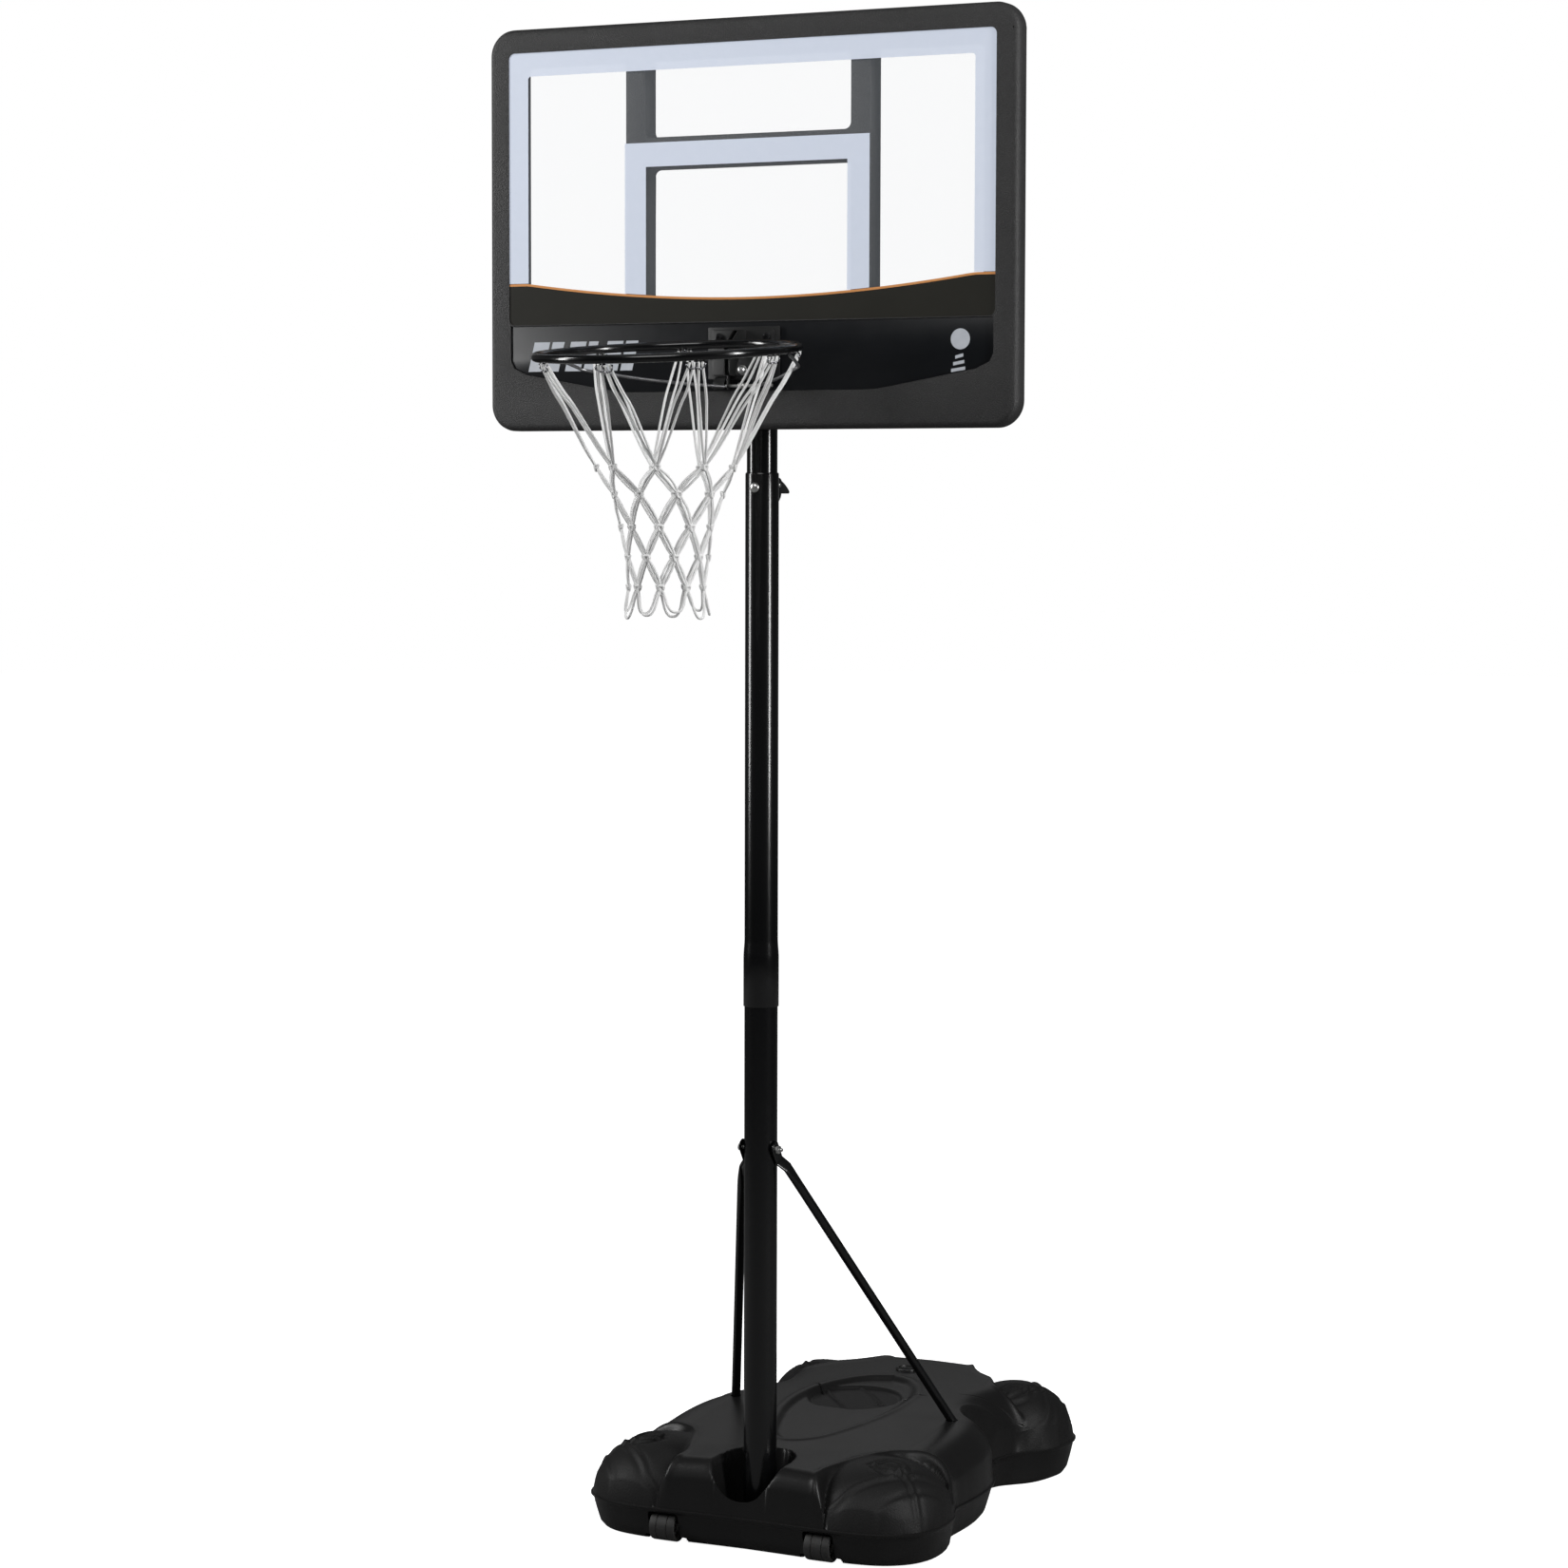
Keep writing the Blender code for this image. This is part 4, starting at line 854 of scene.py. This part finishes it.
smooth_panel, spot = finish("smooth blue-black panel", 0.32, Specular_IOR_Level=0.28)
lay(smooth_panel, Base_Color=spot.noise(12, 3).tint((0.0040, 0.0046, 0.0058), (0.0070, 0.0078, 0.0096)),
    Roughness=0.30 + spot.noise(30) * 0.1, Normal=spot.noise(300, 2).relief(0.08, 0.0004))
slab([(a * 0.9985, 2.2687 + (b - 2.2687) * 0.985) for a, b in PANEL], "Y", BOARD_FRONT_Y + 0.0022,
     BOARD_FRONT_Y + 0.0032, 0.0004)
fit(settle("lower_rail_panel", smooth_panel), "upper", "black_plastic")

# ---------------------------------------------------------------- panel prints
# Plain screen-printed marks on the sunk panel: a row of slanted bars on the left, and an upright column of
# bars under a ball on the right.
print_white, spot = finish("white screen print", 0.45)
lay(print_white, Base_Color=spot.noise(90, 3).tint((0.52, 0.55, 0.60), (0.64, 0.67, 0.72)),
    Normal=spot.noise(800, 2).relief(0.1, 0.0002))
INK_BACK_Y, INK_FRONT_Y = BOARD_FRONT_Y + 0.0021, BOARD_FRONT_Y + 0.0019


def ink(*outlines):
    return join(*[slab(outline, "Y", INK_FRONT_Y, INK_BACK_Y) for outline in outlines])


slants = []
for i, wide in enumerate((0.034, 0.026, 0.034, 0.020, 0.034, 0.026)):
    a = -0.466 + 0.040 * i
    slants.append([(a, 2.246), (a + wide, 2.246), (a + wide + 0.014, 2.302), (a + 0.014, 2.302)])
ink(*slants)
fit(settle("panel_bars", print_white), "upper", "black_plastic")
column = [[(0.416 + 0.004 * i, 2.222 + 0.012 * i), (0.450 - 0.002 * i, 2.226 + 0.012 * i),
           (0.450 - 0.002 * i, 2.232 + 0.012 * i),
           (0.416 + 0.004 * i, 2.228 + 0.012 * i)] for i in range(4)]
disc = [(0.438 + 0.019 * math.cos(math.tau * i / 40), 2.294 + 0.019 * math.sin(math.tau * i / 40)) for i in range(40)]
ink(disc, *column)
fit(settle("panel_ball_mark", print_white), "upper", "black_plastic")

# ---------------------------------------------------------------- clear sheet
# A 3 mm clear acrylic sheet bonded into the rebate, with polished edges.
acrylic, spot = finish("clear acrylic", 0.04, Alpha=0.06, Specular_IOR_Level=0.5)
lay(acrylic, Base_Color=spot.noise(3).tint((0.78, 0.84, 0.92), (0.84, 0.90, 0.96)),
    Roughness=0.03 + spot.noise(40) * 0.03)
slab(rounded((-WINDOW_HALF + 0.0003, WINDOW_BOTTOM_Z + 0.0003), (WINDOW_HALF - 0.0003, WINDOW_TOP_Z - 0.0003), 0.012),
     "Y", SHEET_FRONT_Y, SHEET_BACK_Y, 0.0003, 1)
fit(settle("acrylic_sheet", acrylic), "upper", "clear_acrylic", "clear_sheet")

# ---------------------------------------------------------------- board prints
# Screen-printed ink on the face of the sheet: a pale border and shooter's square that let some light
# through and glow with a painted backlight, a thin orange line that sags across the foot, and an olive-black band below
# it.
FILM_Y = SHEET_FRONT_Y - 0.0002
SIDE_END_Z, LINE_LOW_Z, BORDER_INNER = 2.4145, 2.3770, 0.465
# The pale ink carries a faint blue emission: a painted glow for light that shines through it from behind.
pale_ink_painted_glow, spot = finish("pale translucent ink with painted glow", 0.35, Alpha=0.80, Emission_Color=(0.105, 0.120, 0.150, 1),
                        Emission_Strength=1.0)
lay(pale_ink_painted_glow, Base_Color=spot.noise(60, 3).tint((0.760, 0.805, 0.890), (0.800, 0.840, 0.920)),
    Normal=spot.noise(900, 2).relief(0.06, 0.0002))
orange_ink, spot = finish("orange ink", 0.35)
lay(orange_ink, Base_Color=spot.noise(80, 3).tint((0.72, 0.30, 0.10), (0.82, 0.37, 0.13)))
dark_ink, spot = finish("olive-black ink", 0.34)
lay(dark_ink, Base_Color=spot.noise(9, 3).tint((0.0155, 0.0150, 0.0115), (0.0240, 0.0230, 0.0180)),
    Normal=spot.noise(700, 2).relief(0.06, 0.0002))


def sag(x):
    """Height of the middle of the orange line."""
    share = min(abs(x) / BORDER_INNER, 1)
    return LINE_LOW_Z + (SIDE_END_Z - 0.003 - LINE_LOW_Z) * share**1.9


def film(outline, back=0.0):
    return slab(outline, "Y", FILM_Y - back, FILM_Y - back + 0.00015)


film([(-WINDOW_HALF, SIDE_END_Z), (-BORDER_INNER, SIDE_END_Z), (-BORDER_INNER, 2.803), (-BORDER_INNER + 0.004, 2.807),
      (BORDER_INNER - 0.004, 2.807), (BORDER_INNER, 2.803), (BORDER_INNER, SIDE_END_Z), (WINDOW_HALF, SIDE_END_Z),
      (WINDOW_HALF, WINDOW_TOP_Z - 0.004), (WINDOW_HALF - 0.004, WINDOW_TOP_Z), (-WINDOW_HALF + 0.004, WINDOW_TOP_Z),
      (-WINDOW_HALF, WINDOW_TOP_Z - 0.004)])
fit(settle("border_print", pale_ink_painted_glow), "upper", "clear_acrylic")
TARGET_HALF, TARGET_TOP_Z, TARGET_LINE = 0.255, 2.672, 0.045
foot = [(x, sag(x) + 0.003) for x in np.linspace(-TARGET_HALF, -TARGET_HALF + TARGET_LINE, 6)]
other = [(x, sag(x) + 0.003) for x in np.linspace(TARGET_HALF - TARGET_LINE, TARGET_HALF, 6)]
film([*foot, (-TARGET_HALF + TARGET_LINE, TARGET_TOP_Z - TARGET_LINE),
      (TARGET_HALF - TARGET_LINE, TARGET_TOP_Z - TARGET_LINE),
      *other, (TARGET_HALF, TARGET_TOP_Z), (-TARGET_HALF, TARGET_TOP_Z)])
fit(settle("shooters_square_print", pale_ink_painted_glow), "upper", "clear_acrylic")
span = [float(x) for x in np.linspace(-WINDOW_HALF, WINDOW_HALF, 81)]
film([(x, sag(x) - 0.0022) for x in span] + [(x, sag(x) + 0.0022) for x in reversed(span)], 0.0002)
fit(settle("orange_line_print", orange_ink), "upper", "clear_acrylic")
film([(x, WINDOW_BOTTOM_Z) for x in (-WINDOW_HALF, WINDOW_HALF)] + [(x, sag(x)) for x in reversed(span)])
fit(settle("dark_band_print", dark_ink), "upper", "clear_acrylic")

# ---------------------------------------------------------------- rear brace
# A moulded H behind the sheet that stiffens the board: two posts behind the sides of the shooter's square,
# a bar behind its top, and corner fillets. It clips in behind the sheet.
brace_front, brace_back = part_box("rear_brace")[0].y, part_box("rear_brace")[1].y
low, high = WINDOW_BOTTOM_Z + 0.0125, WINDOW_TOP_Z - 0.0260
inner_half, bar_low, bar_high, fillet = TARGET_HALF - 0.0405, 2.624, 2.682, 0.013


def quarter(cx, cz, start):
    return [(cx + fillet * math.cos(math.radians(start - 15 * i)),
             cz + fillet * math.sin(math.radians(start - 15 * i)))
            for i in range(7)]


outline = [(-TARGET_HALF, low), (-inner_half, low), (-inner_half, bar_low - fillet)]
outline += quarter(-inner_half + fillet, bar_low - fillet, 180) + quarter(inner_half - fillet, bar_low - fillet, 90)
outline += [(inner_half, low), (TARGET_HALF, low), (TARGET_HALF, high), (inner_half, high)]
outline += quarter(inner_half - fillet, bar_high + fillet, 0) + quarter(-inner_half + fillet, bar_high + fillet, 270)
outline += [(-inner_half, high), (-TARGET_HALF, high)]
slab(outline, "Y", brace_front, brace_back, 0.0022, 3)
fit(settle("rear_h_brace", board_plastic), "upper", "black_plastic", "rear_brace")

# ---------------------------------------------------------------- pole bracket
# A folded steel channel screwed to the back of the board, clamped to the upper tube by two long bolts.
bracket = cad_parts["pole_bracket"]
bracket.data.materials.clear()
bracket.data.materials.append(satin_coat)
for name, z in (("low", 2.190), ("high", 2.300)):
    out = UPPER_RADIUS + 0.0036
    head = hex_nut(0.0130, 0.0058, 0)
    head.location = (0, 0, -out - 0.0058)
    shank = spun([(0, -out), (0.0039, -out), (0.0039, out), (0, out)], 32)
    long_bolt = join(shank, head, bolt_end(0.0038, out - 0.001, out + 0.0108))
    long_bolt.rotation_euler, long_bolt.location = (0, math.pi / 2, 0), (0, 0, z)
    fit(settle(f"bracket_bolt_{name}_long", axle_zinc), "upper", "zinc", f"bracket_bolt_{name}")
    nut = hex_nut(0.0130, 0.0063, 0.0041)
    nut.rotation_euler, nut.location = (0, math.pi / 2, 0), (out + 0.0001, 0, z)
    fit(settle(f"bracket_bolt_{name}_hex_nut", axle_zinc), "upper", "zinc", f"bracket_bolt_{name}_nut")

# ---------------------------------------------------------------- rim plates
# A pressed back plate is bolted to the board. The rim's own plate lies on it and swings on a pin at the
# foot against a coil spring, so the ring gives way under a dunk. A chromed dome nut holds the spring rod.
PIN_Y, PIN_Z = -0.0840, 2.2140
back_face = BOARD_FRONT_Y - 0.0003
plate_y = back_face - 0.003
fixed = slab(rounded((-0.0745, 2.2255), (0.0745, 2.324), 0.004, 4), "Y", plate_y, back_face, 0.0006)
lugs = [fixed]
ear = [(back_face, 2.232), (plate_y, 2.232), (PIN_Y - 0.004, 2.220), (PIN_Y - 0.006, 2.214), (PIN_Y - 0.004, 2.208),
       (PIN_Y + 0.002, 2.207), (back_face, 2.212)]
for side in (-1, 1):
    lugs.append(slab(ear, "X", *sorted((0.036 * side, 0.060 * side)), 0.0005))
join(*lugs)
plate_coat = coat("semi-gloss black plate coat", (0.0050, 0.0052, 0.0052), (0.0110, 0.0114, 0.0112), 0.34, 0.16)
fit(settle("rim_back_plate_pressed", plate_coat), "upper", "black_steel", "rim_back_plate")
face_y = plate_y - 0.0033
swing = [slab(rounded((-0.0640, 2.2330), (0.0640, 2.318), 0.004, 4), "Y", face_y, plate_y - 0.0003, 0.0006)]
ear = [(plate_y - 0.0003, 2.2420), (-0.0905, 2.2360), (-0.0905, 2.2075), (PIN_Y + 0.004, 2.2075),
       (PIN_Y + 0.0045, 2.2200),
       (plate_y - 0.0003, 2.2335)]
tongue = [(face_y + 0.001, 2.3170), (-0.108, 2.3170), (-0.114, 2.3145), (-0.149, 2.2860), (-0.149, 2.2360),
          (-0.143, 2.2310),
          (-0.128, 2.2310), (-0.122, 2.2400), (-0.112, 2.2620), (face_y + 0.001, 2.2680)]
for side in (-1, 1):
    swing.append(slab(ear, "X", *sorted((0.0260 * side, 0.0290 * side)), 0.0006))
    swing.append(slab(tongue, "X", *sorted((0.0042 * side, 0.0066 * side)), 0.0009, 3))
swing.append(slab([(face_y + 0.001, 2.3165), (-0.107, 2.3165), (-0.107, 2.3145), (face_y + 0.001, 2.3145)], "X",
                  -0.0050, 0.0050, 0.0004))
join(*swing)
fit(settle("rim_swing_plate", plate_coat), "rim", "black_steel", "rim_front_plate")
spun([(0, 0.0136), (0.0022, 0.0133), (0.0044, 0.0124), (0.0062, 0.0107), (0.0074, 0.0083), (0.0079, 0.0055),
      (0.0080, 0.0026), (0.0088, 0.0022), (0.0088, 0.0004), (0, 0.0004)], 40, (0, face_y, 2.2430),
      (math.pi / 2, 0, 0))
fit(settle("chrome_dome_nut", axle_zinc), "rim", "zinc", "dome_nut")
black_zinc, spot = finish("black zinc bolt", 0.28, 0.6)
lay(black_zinc, Base_Color=spot.noise(300).tint((0.010, 0.010, 0.011), (0.030, 0.030, 0.032)),
    Roughness=0.22 + spot.noise(200) * 0.15)
for side, name in ((-1, "left"), (1, "right")):
    spun([(0, 0.0036), (0.0022, 0.0036), (0.0028, 0.0050), (0.0052, 0.0048), (0.0064, 0.0036), (0.0066, 0.0022),
          (0.0082, 0.0018), (0.0082, 0.0003), (0, 0.0003)], 32, (0.050 * side, face_y, 2.3040), (math.pi / 2, 0, 0))
    fit(settle(f"plate_button_bolt_{name}", black_zinc), "rim", "black_steel", f"plate_bolt_{name}")
spun([(0, -0.0638), (0.0026, -0.0638), (0.0030, -0.0632), (0.0030, 0.0632), (0.0026, 0.0638), (0, 0.0638)], 24,
     (0, PIN_Y, PIN_Z), (0, math.pi / 2, 0))
fit(settle("rim_hinge_pin", axle_zinc), "upper", "zinc", "hinge_pin")


def tracks(paths, radius, fine=5, sides=3, closed=False):
    """Round wires or cords along smooth lines through a few points, made one mesh."""
    drop_all()
    line = bpy.data.curves.new("wire", "CURVE")
    line.dimensions, line.bevel_depth, line.bevel_resolution, line.use_fill_caps = "3D", radius, sides, True
    for path in paths:
        points = drawn([tuple(p) for p in path], fine)
        spline = line.splines.new("POLY")
        spline.points.add(len(points) - 1)
        spline.points.foreach_set("co", np.hstack((points, np.ones((len(points), 1)))).astype(np.float32).ravel())
        spline.use_cyclic_u = closed
    piece = bpy.data.objects.new("wire", line)
    bpy.context.scene.collection.objects.link(piece)
    piece.select_set(True)
    bpy.context.view_layer.objects.active = piece
    bpy.ops.object.convert(target="MESH")
    return bpy.context.object


turns = 8
coil = [(-0.0075 + 0.015 * i / (turns * 8), PIN_Y + 0.0049 * math.cos(math.tau * i / 8),
         PIN_Z + 0.0049 * math.sin(math.tau * i / 8))
        for i in range(turns * 8 + 1)]
tracks([coil], 0.0007, 2, 1)
fit(settle("rim_coil_spring", axle_zinc, 60), "upper", "zinc", "rim_spring")

# ---------------------------------------------------------------- ring
# A steel tube rolled to an 18-inch ring and welded shut, gloss black, with two wire braces that run from
# its sides down to the foot of its plate.
RING_RADIUS, RING_TUBE, RING_MIDDLE, RING_DROOP = 0.2365, 0.008, Vector((0, -0.3835, 2.2665)), math.radians(5.4)


def on_ring(angle, radius=RING_RADIUS, drop=0.0):
    """A point on the ring as it hangs. The angle runs from the front, positive to the right."""
    flat = Vector((radius * math.sin(angle), -radius * math.cos(angle), -drop))
    return RING_MIDDLE + Matrix.Rotation(RING_DROOP, 4, "X") @ flat


drop_all()
bpy.ops.mesh.primitive_torus_add(major_segments=160, minor_segments=24, major_radius=RING_RADIUS,
                                 minor_radius=RING_TUBE,
                                 location=RING_MIDDLE, rotation=(RING_DROOP, 0, 0))
fit(settle("rolled_ring", gloss_coat, 80), "rim", "black_steel", "rim_ring")
BRACE_DROP = RING_TUBE + 0.0034
brace_wire, spot = finish("dark plated wire", 0.30, 0.9)
lay(brace_wire, Base_Color=spot.noise(40, 3).tint((0.16, 0.16, 0.165), (0.34, 0.34, 0.35)),
    Roughness=0.24 + spot.noise(150) * 0.14)
for side, name in ((-1, "left"), (1, "right")):
    path = [on_ring(math.radians(95 + 4 * i) * side, RING_RADIUS - 0.001, BRACE_DROP + 0.0060 * i) for i in range(5)]
    end, bend = Vector((0.0325 * side, -0.092, 2.2125)), path[-1]
    path += [bend.lerp(end, t) + Vector((0, 0, -0.004 * math.sin(math.pi * t))) for t in (0.15, 0.45, 0.75, 1.0)]
    tracks([path], 0.003, 6)
    fit(settle(f"ring_brace_{name}", brace_wire, 80), "rim", "black_steel", f"rim_brace_{name}")

# ---------------------------------------------------------------- net hooks
# Nine hooks of bright bent wire welded under the ring, each an open loop whose ends turn up and out.
HOOKS = 9
bright_wire, spot = finish("bright hook wire", 0.16, 1.0)
lay(bright_wire, Base_Color=spot.noise(200).tint((0.10, 0.10, 0.11), (0.42, 0.42, 0.44)),
    Roughness=0.14 + spot.noise(300) * 0.12)
HOOK_BEND = ((-0.0150, 0.0105), (-0.0168, 0.0150), (-0.0130, 0.0200), (-0.0060, 0.0215), (0.0000, 0.0180),
             (0.0030, 0.0120), (0.0004, 0.0088), (-0.0030, 0.0115), (0.0000, 0.0180), (0.0065, 0.0225),
             (0.0130, 0.0205), (0.0165, 0.0155), (0.0150, 0.0105))
for i in range(HOOKS):
    angle = math.tau * (i - HOOKS // 2) / HOOKS
    path = [on_ring(angle + along / RING_RADIUS, RING_RADIUS - 0.002 + 0.004 * (k % 2), drop)
            for k, (along, drop) in enumerate(HOOK_BEND)]
    tracks([path], 0.0017, 4, 2)
    fit(settle(f"net_hook_wire_{i + 1}", bright_wire, 80), "rim", "zinc", f"net_hook_{i + 1}")

# ---------------------------------------------------------------- net
# Twelve-ply white nylon cord, knotted by hand in open diamonds. Doubled strands hang from each hook to the
# first row of knots, and nine open loops finish the foot.
KNOT_ROWS = ((0.2075, 0.127), (0.2555, 0.101), (0.315, 0.083), (0.369, 0.075), (0.423, 0.069))
STRAND_AIM = (0.192, 0.127)
LOOP_DROP, LOOP_RADIUS, CORD = 0.472, 0.077, 0.0024


def in_net(angle, drop, radius):
    return RING_MIDDLE + Vector((radius * math.sin(angle), -radius * math.cos(angle), -drop))


step = math.tau / HOOKS
nylon, spot = finish("white nylon cord", 0.75, Sheen_Weight=0.2, Subsurface_Weight=0.15,
                     Subsurface_Radius=(0.004, 0.004, 0.004))
ply = spot.noise(420, 3)
lay(nylon, Base_Color=ply.tint((0.74, 0.74, 0.74), (0.90, 0.90, 0.89)),
    Normal=(ply * 0.6 + spot.noise(1500, 2) * 0.4).relief(0.5, 0.0008))
cords, knots = [], []
for i in range(HOOKS):
    hook = step * i
    for way in (-1, 1):
        knot = in_net(hook + way * step / 2, *KNOT_ROWS[0])
        for strand in (0, 1):
            lift = 0.0125 if strand else 0.0045
            start = on_ring(hook + way * lift / RING_RADIUS, RING_RADIUS + 0.0012 - 0.0024 * strand, 0.0190)
            start.z += 0.003
            spread = in_net(hook + way * step / 2, *STRAND_AIM).lerp(start, 0.55)
            out = Vector((math.sin(hook), -math.cos(hook), 0)) * 0.004
            aside = (on_ring(hook + 0.01) - on_ring(hook - 0.01)).normalized() * (0.0042 * (1 if strand else -1) * way)
            cords.append([start + Vector((0, 0, 0.004)), start, start.lerp(knot, 0.25) + out * 0.6 + aside * 0.9,
                          spread + out + aside, start.lerp(knot, 0.80) + out * 0.5 + aside * 0.6, knot])
for row, ((drop, radius), (next_drop, next_radius)) in enumerate(zip(KNOT_ROWS, KNOT_ROWS[1:])):
    for i in range(HOOKS):
        here = step * (i + (0.5 if row % 2 == 0 else 0))
        a = in_net(here, drop, radius)
        for way in (-1, 1):
            b = in_net(here + way * step / 2, next_drop, next_radius)
            middle = in_net(here + way * step / 4, (drop + next_drop) / 2, (radius + next_radius) / 2)
            side_step = (b - a).cross(middle - in_net(0, (drop + next_drop) / 2, 0)).normalized() * 0.0027
            for strand in (-1, 1):
                wobble = 0.7 + 0.6 * ((i * 7 + row * 3 + way + strand * 2) % 5) / 4
                cords.append([a, a.lerp(middle, 0.5) + side_step * strand * wobble * 0.8,
                              middle + side_step * strand * wobble,
                              b.lerp(middle, 0.5) + side_step * strand * wobble * 0.8, b])
for i in range(HOOKS):
    here = step * (i + 0.5)
    a, b = in_net(here, *KNOT_ROWS[-1]), in_net(here + step, *KNOT_ROWS[-1])
    low = LOOP_DROP + 0.006 * ((i * 5) % 3 - 1)
    path = [a]
    for t, deep in ((0.10, 0.35), (0.20, 0.72), (0.34, 0.95), (0.50, 1.0), (0.66, 0.95), (0.80, 0.72), (0.90, 0.35)):
        path.append(in_net(here + step * (0.5 + (t - 0.5) * 0.95), KNOT_ROWS[-1][0] + (low - KNOT_ROWS[-1][0]) * deep,
                           KNOT_ROWS[-1][1] + (LOOP_RADIUS - KNOT_ROWS[-1][1]) * deep))
    cords.append([*path, b])
net = tracks(cords, CORD, 3, 2)
for row, (drop, radius) in enumerate(KNOT_ROWS):
    for i in range(HOOKS):
        here = step * (i + (0.5 if row % 2 == 0 else 0))
        middle = in_net(here, drop, radius)
        around_y = Matrix.Translation(middle) @ Matrix.Rotation(here, 4, "Z")
        knot = []
        for k in range(17):
            a = math.tau * k / 8
            knot.append(around_y @ Vector((0.0042 * math.cos(a), -0.0030 * math.sin(a * 0.5 + 0.6),
                                           0.0048 * math.sin(a) + 0.0014 * math.cos(2 * a))))
        knots.append(knot)
bundles = tracks(knots, CORD * 1.05, 2, 2)
join(net, bundles)
fit(settle("knotted_net", nylon, 80), "rim", "net_cord", "net")
